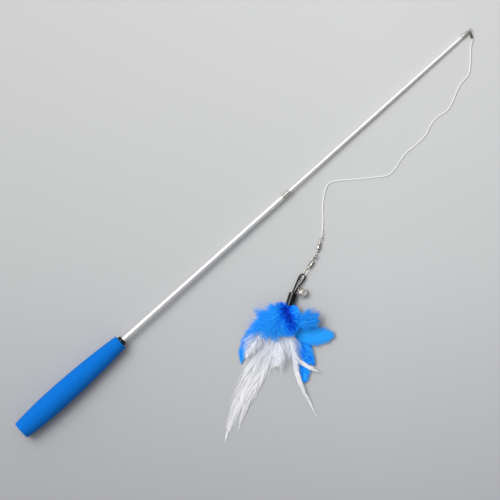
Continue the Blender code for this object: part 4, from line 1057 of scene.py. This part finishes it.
def ribbons(x, y, z, half_width, tilt):
    """Flat strips along rows of places, as corners and faces."""
    run_x, run_y = np.gradient(x, axis=1), np.gradient(y, axis=1)
    size = np.hypot(run_x, run_y) + 1e-9
    side_x, side_y = -run_y / size * np.cos(tilt), run_x / size * np.cos(tilt)
    side_z = np.broadcast_to(np.sin(tilt), x.shape)
    left = np.stack([x + side_x * half_width, y + side_y * half_width, z + side_z * half_width], axis=-1)
    right = np.stack([x - side_x * half_width, y - side_y * half_width, z - side_z * half_width], axis=-1)
    rows, points = x.shape
    corners = np.stack([left, right], axis=2).reshape(-1, 3)
    first = (np.arange(rows)[:, None] * points + np.arange(points - 1)[None]).ravel() * 2
    faces = np.stack([first, first + 1, first + 3, first + 2], axis=1)
    return corners, faces[:, ::-1]


def in_locks(count, size, dice):
    """Which lock each barb in a row hangs in, and how that lock differs from its neighbours."""
    lock = np.cumsum(dice.random(count) < 1 / size)
    lock -= lock[0]
    return lock, dice.normal(0, 1, lock[-1] + 1)[lock]


def waves(kind, count, t, most, dice):
    """How far each barb of a row waves to its side, more towards its end, in up to this many waves."""
    turns = dice.uniform(0.6, most, (count, 1)) * t + dice.random((count, 1))
    return kind["wave"] * np.sin(math.tau * turns) * t


def along_vane(shaft, side, kind, dice):
    """The paths of one side's barbs, in a row from the quill to the tip, and their locks."""
    reach = shaft.length * kind["barbed_to"] - kind["bare"]
    count = int(reach * kind["per_mm"])
    root = kind["bare"] + reach * np.linspace(0, 1, count)
    share = root / shaft.length
    lock, of_lock = in_locks(count, kind["lock"], dice)
    angle = np.radians(kind["root_angle"] + (kind["tip_angle"] - kind["root_angle"]) * share ** 0.8)
    stray = dice.normal(0, kind["stray"], count) + dice.normal(0, kind["stray"], lock[-1] + 1)[lock]
    angle = np.clip(angle * (1 + stray), math.radians(0.6 * kind["tip_angle"]), math.radians(85))
    scale = kind["left"] if side > 0 else kind["right"]
    # A barb ends on the vane's outline, which is wider or narrower further along, so its reach is eased there
    out = scale * shaft.width_at(share)
    for _ in range(30):
        out = 0.6 * out + 0.4 * scale * shaft.width_at((root + out / np.tan(angle)) / shaft.length)
    ragged = 1 + kind["ragged"] * (0.6 * of_lock + 0.6 * dice.normal(0, 1, count))
    out = out * np.clip(ragged, 0.35, 1.45)
    ahead = out / np.tan(angle)
    # The tips of a lock's barbs are drawn together
    gathered = (np.bincount(lock, root + ahead) / np.bincount(lock))[lock] - root - ahead
    gathered = np.clip(gathered, -2.5, 2.5)

    t = np.linspace(0, 1, kind["steps"] + 1)[None]
    wave = waves(kind, count, t, 1.3, dice)
    along = root[:, None] + ahead[:, None] * t ** 1.2 + kind["pull"] * gathered[:, None] * t * t + wave
    across = out[:, None] * (1 - (1 - t) ** 1.3) + 0.5 * wave * t
    x, y = shaft.spot(along, side * across)
    return x, y, lock, of_lock


def sprayed(shaft, kind, dice):
    """The paths of long loose barbs that spray from the quill out to the down's outline, and their locks."""
    angles, reaches = np.array(kind["outline"], float).T
    count = kind["sprays"]
    turn = np.sort(dice.uniform(angles[0], angles[-1], count))
    lock, of_lock = in_locks(count, kind["lock"], dice)
    centre = (np.bincount(lock, turn) / np.bincount(lock))[lock]
    aim = turn + kind["pull"] * (centre - turn)
    full = np.interp(aim, angles, reaches) * np.clip(1 + kind["ragged"] * of_lock, 0.6, 1.2)
    reach = full * (1 - 0.75 * dice.random(count) ** kind["fill"])
    root = reach * dice.uniform(0.0, 0.45, count)
    inside = np.sin(math.pi * (turn - angles[0]) / np.ptp(angles))
    aim = aim + dice.normal(0, kind["stray"] * 22, count) * inside
    beside = dice.normal(0, 0.12, count) * root
    from_x, from_y = shaft.spot(root, beside)
    next_x, next_y = shaft.spot(root + 0.5, beside)
    to_x, to_y = reach * np.cos(np.radians(aim)), reach * np.sin(np.radians(aim))
    lean = np.hypot(to_x - from_x, to_y - from_y) * dice.uniform(0.3, 0.7, count)
    by_x, by_y = from_x + (next_x - from_x) * 2 * lean, from_y + (next_y - from_y) * 2 * lean
    t = np.linspace(0, 1, kind["steps"] + 1)[None]
    shares = ((1 - t) ** 2, 2 * t * (1 - t), t * t)
    x = sum(share * place[:, None] for share, place in zip(shares, (from_x, by_x, to_x)))
    y = sum(share * place[:, None] for share, place in zip(shares, (from_y, by_y, to_y)))
    wave = waves(kind, count, t, 1.6, dice)
    facing = np.radians(aim)[:, None]
    return x - wave * np.sin(facing), y + wave * np.cos(facing), lock, of_lock


BARB_TONE = 0.4
BARB_TONE_RISES = 0.12
HAIR_TONE = 0.45
HAIR_TONE_VARIES = 0.26
HAIR_HALF_WIDTH = 0.05
# No barb and no barbule lies lower than this over the table
BARB_LEAST_HEIGHT = 0.2
HAIR_LEAST_HEIGHT = 0.15


def barbs_on(shaft, paths, kind, dice):
    """The barbs along these paths, with their barbules: corners, faces and the tone at each corner."""
    x, y, lock, of_lock = paths
    count = len(x)
    t = np.linspace(0, 1, kind["steps"] + 1)[None]
    bottom, thick = shaft.heights(x, y)
    layer = dice.uniform(0.25, 0.95, (count, 1))
    height = 0.6 * dice.random((count, 1)) + 0.4 * dice.random(lock[-1] + 1)[lock][:, None]
    stands = kind["lift"] * height * np.sin(math.pi * t ** 0.75)
    stands = stands * smooth_step((np.hypot(x, y) - 2) / 14)
    z = np.maximum(bottom + thick * layer + stands, BARB_LEAST_HEIGHT) - SLEEVE_HEIGHT
    half_width = kind["width"] * (1 - kind["taper"] * t ** 1.5) * np.ones((count, 1))
    tilt = np.radians(dice.normal(0, kind["tilt"], (count, 1)))
    corners, faces = ribbons(x, y, z, half_width, tilt)
    lightness = shaft.feather.lightness
    tone = BARB_TONE + lightness + kind["each_tone"] * dice.normal(0, 1, (count, 1))
    tone = tone + kind["streaks"] * of_lock[:, None] + BARB_TONE_RISES * t
    tones = np.repeat(tone + 0 * x, 2, axis=1).reshape(-1)
    if not kind["barbules"]:
        return corners, faces.tolist(), tones

    each = kind["barbules"]
    at = dice.uniform(0.1, 0.99, (count, each)) * kind["steps"]
    index, rest = at.astype(int), at - at.astype(int)
    barb = np.arange(count)[:, None]

    def between(values):
        return values[barb, index] * (1 - rest) + values[barb, index + 1] * rest

    from_x, from_y, from_z = between(x), between(y), between(z)
    run_x, run_y = x[barb, index + 1] - x[barb, index], y[barb, index + 1] - y[barb, index]
    heading = np.arctan2(run_y, run_x) + dice.choice([-1, 1], at.shape) * dice.uniform(0.35, 1.1, at.shape)
    long = kind["barbule_length"] * dice.uniform(0.5, 1.2, at.shape) * (1 - 0.5 * at / kind["steps"])
    rise = dice.normal(0, 0.12, at.shape) * long
    tip = np.stack([from_x + long * np.cos(heading), from_y + long * np.sin(heading), from_z + rise], -1)
    foot = np.stack([-np.sin(heading), np.cos(heading), 0 * heading], -1) * HAIR_HALF_WIDTH
    base = np.stack([from_x, from_y, from_z], -1)
    hairs = np.stack([base - foot, tip, base + foot], axis=2).reshape(-1, 3)
    hairs[:, 2] = np.maximum(hairs[:, 2], HAIR_LEAST_HEIGHT - SLEEVE_HEIGHT)
    triples = len(corners) + np.arange(len(hairs)).reshape(-1, 3)
    corners = np.concatenate([corners, hairs])
    hair_tone = HAIR_TONE + lightness + HAIR_TONE_VARIES * dice.normal(0, 1, at.shape)
    tones = np.concatenate([tones, np.repeat(hair_tone.reshape(-1), 3)])
    return corners, faces.tolist() + triples.tolist(), tones


# Painted shade: the down's colour is darkest along a line from the sleeve through the puff, where the down
# bunches thickest, with a shorter reach on the line's left
SHADE_FROM = (7, -2)
SHADE_ALONG = (0.79, 0.61)
SHADE_LENGTH = 21
SHADE_REACH_LEFT = 5.5
SHADE_REACH_RIGHT = 8.0
SHADE_DEPTH = 0.9
# The white feathers are tinted blue up to so far from the sleeve's end, and the tint fades out over this
# stretch
TINT_END = 90
TINT_FADES_OVER = 45


def painted_root_shade(corners):
    """How much the down's colour is darkened, as painted shade, where the down bunches thickest."""
    run_x, run_y = SHADE_ALONG
    x, y = corners[:, 0] - SHADE_FROM[0], corners[:, 1] - SHADE_FROM[1]
    along = np.clip((x * run_x + y * run_y) / SHADE_LENGTH, 0, 1) * SHADE_LENGTH
    off_x, off_y = x - along * run_x, y - along * run_y
    on_left = off_y * run_x > off_x * run_y
    patchy = np.sin(0.8 * x + 1.1 * y) + np.sin(1.3 * x - 0.7 * y + 2) + np.sin(0.5 * x + 2.1 * y + 4)
    reach = np.where(on_left, SHADE_REACH_LEFT, SHADE_REACH_RIGHT) * (1 + 0.2 * patchy)
    return -SHADE_DEPTH * np.exp(-((np.hypot(off_x, off_y) / reach) ** 2))


def stain(corners):
    """How much each corner of a white feather is tinted blue, more near the sleeve."""
    return smooth_step((TINT_END - np.hypot(corners[:, 0], corners[:, 1])) / TINT_FADES_OVER)


def darken(material, factor, by):
    """The colour is multiplied by this one where the factor is 1."""
    colour = material.node_tree.nodes["Principled BSDF"].inputs["Base Color"].links[0].from_socket
    mixed = {0: factor, 6: colour, 7: (*by, 1.0)}
    product = shader_step(material.node_tree, "ShaderNodeMix", mixed, data_type="RGBA", blend_type="MULTIPLY")
    feed(material, "Base Color", product.outputs[2])


def feather_finish(name, stops, mottle, spots, tint_colour=None):
    """Each barb has its own tone, and the down is mottled with this many spots to the metre."""
    material = new_finish(name, 0.7, gloss=0.08)
    tone = shader_step(material.node_tree, "ShaderNodeAttribute", attribute_name="tone").outputs["Fac"]
    spotted = grain(material, (spots, spots, spots))
    tint(material, reckon(material.node_tree, "MULTIPLY_ADD", spotted, mottle, tone), stops)
    relief(material, grain(material, (2500, 2500, 2500)), 0.03)
    if tint_colour:
        # The white barbs are tinted a little blue near the sleeve
        tinted = shader_step(material.node_tree, "ShaderNodeAttribute", attribute_name="stain")
        darken(material, tinted.outputs["Fac"], tint_colour)
    return material


def shaft_finish(name, roughness, dark, light):
    """Horn, streaked along the shaft."""
    material = new_finish(name, roughness)
    tint(material, grain(material, (60, 800, 800)), [(0.3, dark), (0.7, light)])
    return material


BLUE_STOPS = [
    (0.1, (0.0, 0.004, 0.34)), (0.5, (0.0, 0.10, 0.88)), (0.85, (0.0, 0.225, 1.0)), (1.0, (0.022, 0.38, 1.0)),
]
WHITE_STOPS = [
    (0.0, (0.44, 0.44, 0.48)), (0.4, (0.70, 0.70, 0.73)), (0.75, (0.87, 0.87, 0.88)),
    (1.0, (0.97, 0.97, 0.97)),
]
BARBS = {
    "blue": feather_finish("dyed_blue_barbs", BLUE_STOPS, mottle=0.9, spots=400),
    "white": feather_finish("white_barbs", WHITE_STOPS, mottle=0.3, spots=600, tint_colour=(0.88, 0.92, 1.0)),
}
SHAFTS = {
    "blue": shaft_finish("dyed_shaft", 0.4, (0.0, 0.02, 0.12), (0.003, 0.07, 0.38)),
    "white": shaft_finish("white_shaft", 0.35, (0.70, 0.69, 0.66), (0.86, 0.85, 0.82)),
}


def give_corners(obj, name, values):
    """One number at each corner, which the finish reads."""
    given = obj.data.attributes.new(name, "FLOAT", "POINT")
    given.data.foreach_set("value", values.astype(np.float32))


def make_feather(level, feather):
    """One feather: its shaft, its barbs, and their tones."""
    kind = {"left": 1.0, "right": 1.0} | KINDS[feather.kind] | feather.otherwise
    shaft = Shaft(level, feather)
    dice = np.random.default_rng(100 + level)

    along = np.linspace(0, shaft.length * 0.985, 60)
    x, y = shaft.spot(along, 0 * along)
    x, y = np.concatenate([[QUILL_START, 0], x]), np.concatenate([[0, 0], y])
    bottom, thick = shaft.heights(x, y)
    share = np.concatenate([[0, 0], along / shaft.length])
    route = np.stack([x, y, bottom + thick * (0.5 + 0.3 * share) - SLEEVE_HEIGHT], axis=1)
    corners, faces, _ = sweep(route, kind["shaft"] * (1 - 0.7 * share), 8)
    shaft_faces = len(faces)
    tones = np.full(len(corners), 0.3)
    if "outline" in kind:
        growths = [sprayed(shaft, kind, dice)]
    else:
        growths = [along_vane(shaft, side, kind, dice) for side in (-1, 1)]
    for paths in growths:
        more, more_faces, more_tones = barbs_on(shaft, paths, kind, dice)
        faces += [tuple(len(corners) + k for k in face) for face in more_faces]
        corners = np.concatenate([corners, more])
        tones = np.concatenate([tones, more_tones])
    if feather.colour == "blue":
        # Painted shade at the roots of the blue down
        tones = tones + painted_root_shade(corners)

    obj = mesh_piece(feather.piece, corners, faces, crease=None)
    give_corners(obj, "tone", np.clip(tones, -0.6, 1))
    if feather.colour == "white":
        give_corners(obj, "stain", stain(corners))
    fit(obj, LURE, BARBS[feather.colour], "lure", feather.node)
    obj.data.materials.append(SHAFTS[feather.colour])
    of_shaft = np.zeros(len(faces), np.int32)
    of_shaft[:shaft_faces] = 1
    obj.data.polygons.foreach_set("material_index", of_shaft)


for level, feather in enumerate(FEATHERS):
    make_feather(level, feather)


# The wand lies on a pale grey table top. Its colour is painted a little darker towards the picture's lower
# edge and its left one: painted shade, where the light falls off.
TABLE_HALF = 3.0
UP_PICTURE = (-math.sin(CAMERA_TURN), math.cos(CAMERA_TURN), 0.0)
ACROSS_PICTURE = (math.cos(CAMERA_TURN), math.sin(CAMERA_TURN), 0.0)


def slope(tree, place, direction, span, levels=(0.0, 1.0), **settings):
    """A value that goes from one level to the other over a span of the way in this direction."""
    way = shader_step(tree, "ShaderNodeVectorMath", {0: place, 1: direction}, operation="DOT_PRODUCT")
    entries = ("Value", "From Min", "From Max", "To Min", "To Max")
    feeds = dict(zip(entries, (way.outputs["Value"], *span, *levels)))
    return shader_step(tree, "ShaderNodeMapRange", feeds, **settings).outputs["Result"]


table_paint = new_finish("pale_grey_table", 0.75, gloss=0.2)
tree = table_paint.node_tree
place = shader_step(tree, "ShaderNodeTexCoord").outputs["Object"]
# Painted shade: the table's colour darkens towards the picture's lower edge
tint(table_paint, slope(tree, place, UP_PICTURE, (-0.25, 0.35)), [
    (0.0, (0.415, 0.42, 0.435)), (0.5, (0.565, 0.57, 0.57)), (0.8, (0.61, 0.61, 0.605)),
    (1.0, (0.63, 0.63, 0.625)),
])
# Painted shade: the table's colour darkens towards the picture's left edge
painted_shade_to_left = reckon(tree, "SUBTRACT", 1.0, slope(tree, place, ACROSS_PICTURE, (-0.335, 0.08)))
darken(table_paint, painted_shade_to_left, (0.84, 0.84, 0.838))

table_corners = [(x * TABLE_HALF, y * TABLE_HALF, 0) for x, y in ((-1, -1), (1, -1), (1, 1), (-1, 1))]
table = mesh_piece("table_top", table_corners, [(0, 1, 2, 3)], scale=1.0, crease=None)
table.data.materials.append(table_paint)


# A large soft lamp stands beyond the top left of the picture, with a small bright one in its middle. The room
# behind it is bright, and the room on the other side and overhead is dim, which gives the metal its dark and
# light sides.
LIT_SPOT = Vector((-0.02, 0.08, 0))
KEY_DISTANCE = 3.0
KEY_ELEVATION = math.radians(59)
KEY_BEARING = math.radians(108)
KEY_TURN = Euler((0, math.pi / 2 - KEY_ELEVATION, KEY_BEARING)).to_matrix()
BRIGHT_SIDE = (-0.2, 0.98, 0.0)


def area_lamp(name, energy, size, distance):
    """A square lamp this far from the wand, which faces it."""
    light = bpy.data.lights.new(name, "AREA")
    light.energy = energy
    light.size = size
    lamp = new_object(name, light)
    lamp.location = LIT_SPOT + KEY_TURN @ Vector((0, 0, distance))
    lamp.rotation_euler = KEY_TURN.to_euler()


area_lamp("soft_key", 69, 2.0, KEY_DISTANCE)
area_lamp("bare_lamp_in_soft_key", 8, 0.28, KEY_DISTANCE - 0.05)

room = bpy.data.worlds.new("pale_room")
room.use_nodes = True
tree = room.node_tree
outward = shader_step(tree, "ShaderNodeTexCoord").outputs["Generated"]
brightness = slope(tree, outward, BRIGHT_SIDE, (-0.1, 0.75), (0.33, 0.74), interpolation_type="SMOOTHSTEP")
tree.links.new(brightness, tree.nodes["Background"].inputs["Strength"])
tree.nodes["Background"].inputs["Color"].default_value = (0.96, 0.975, 1.0, 1.0)
bpy.context.scene.world = room
bpy.context.scene.view_settings.view_transform = "Standard"
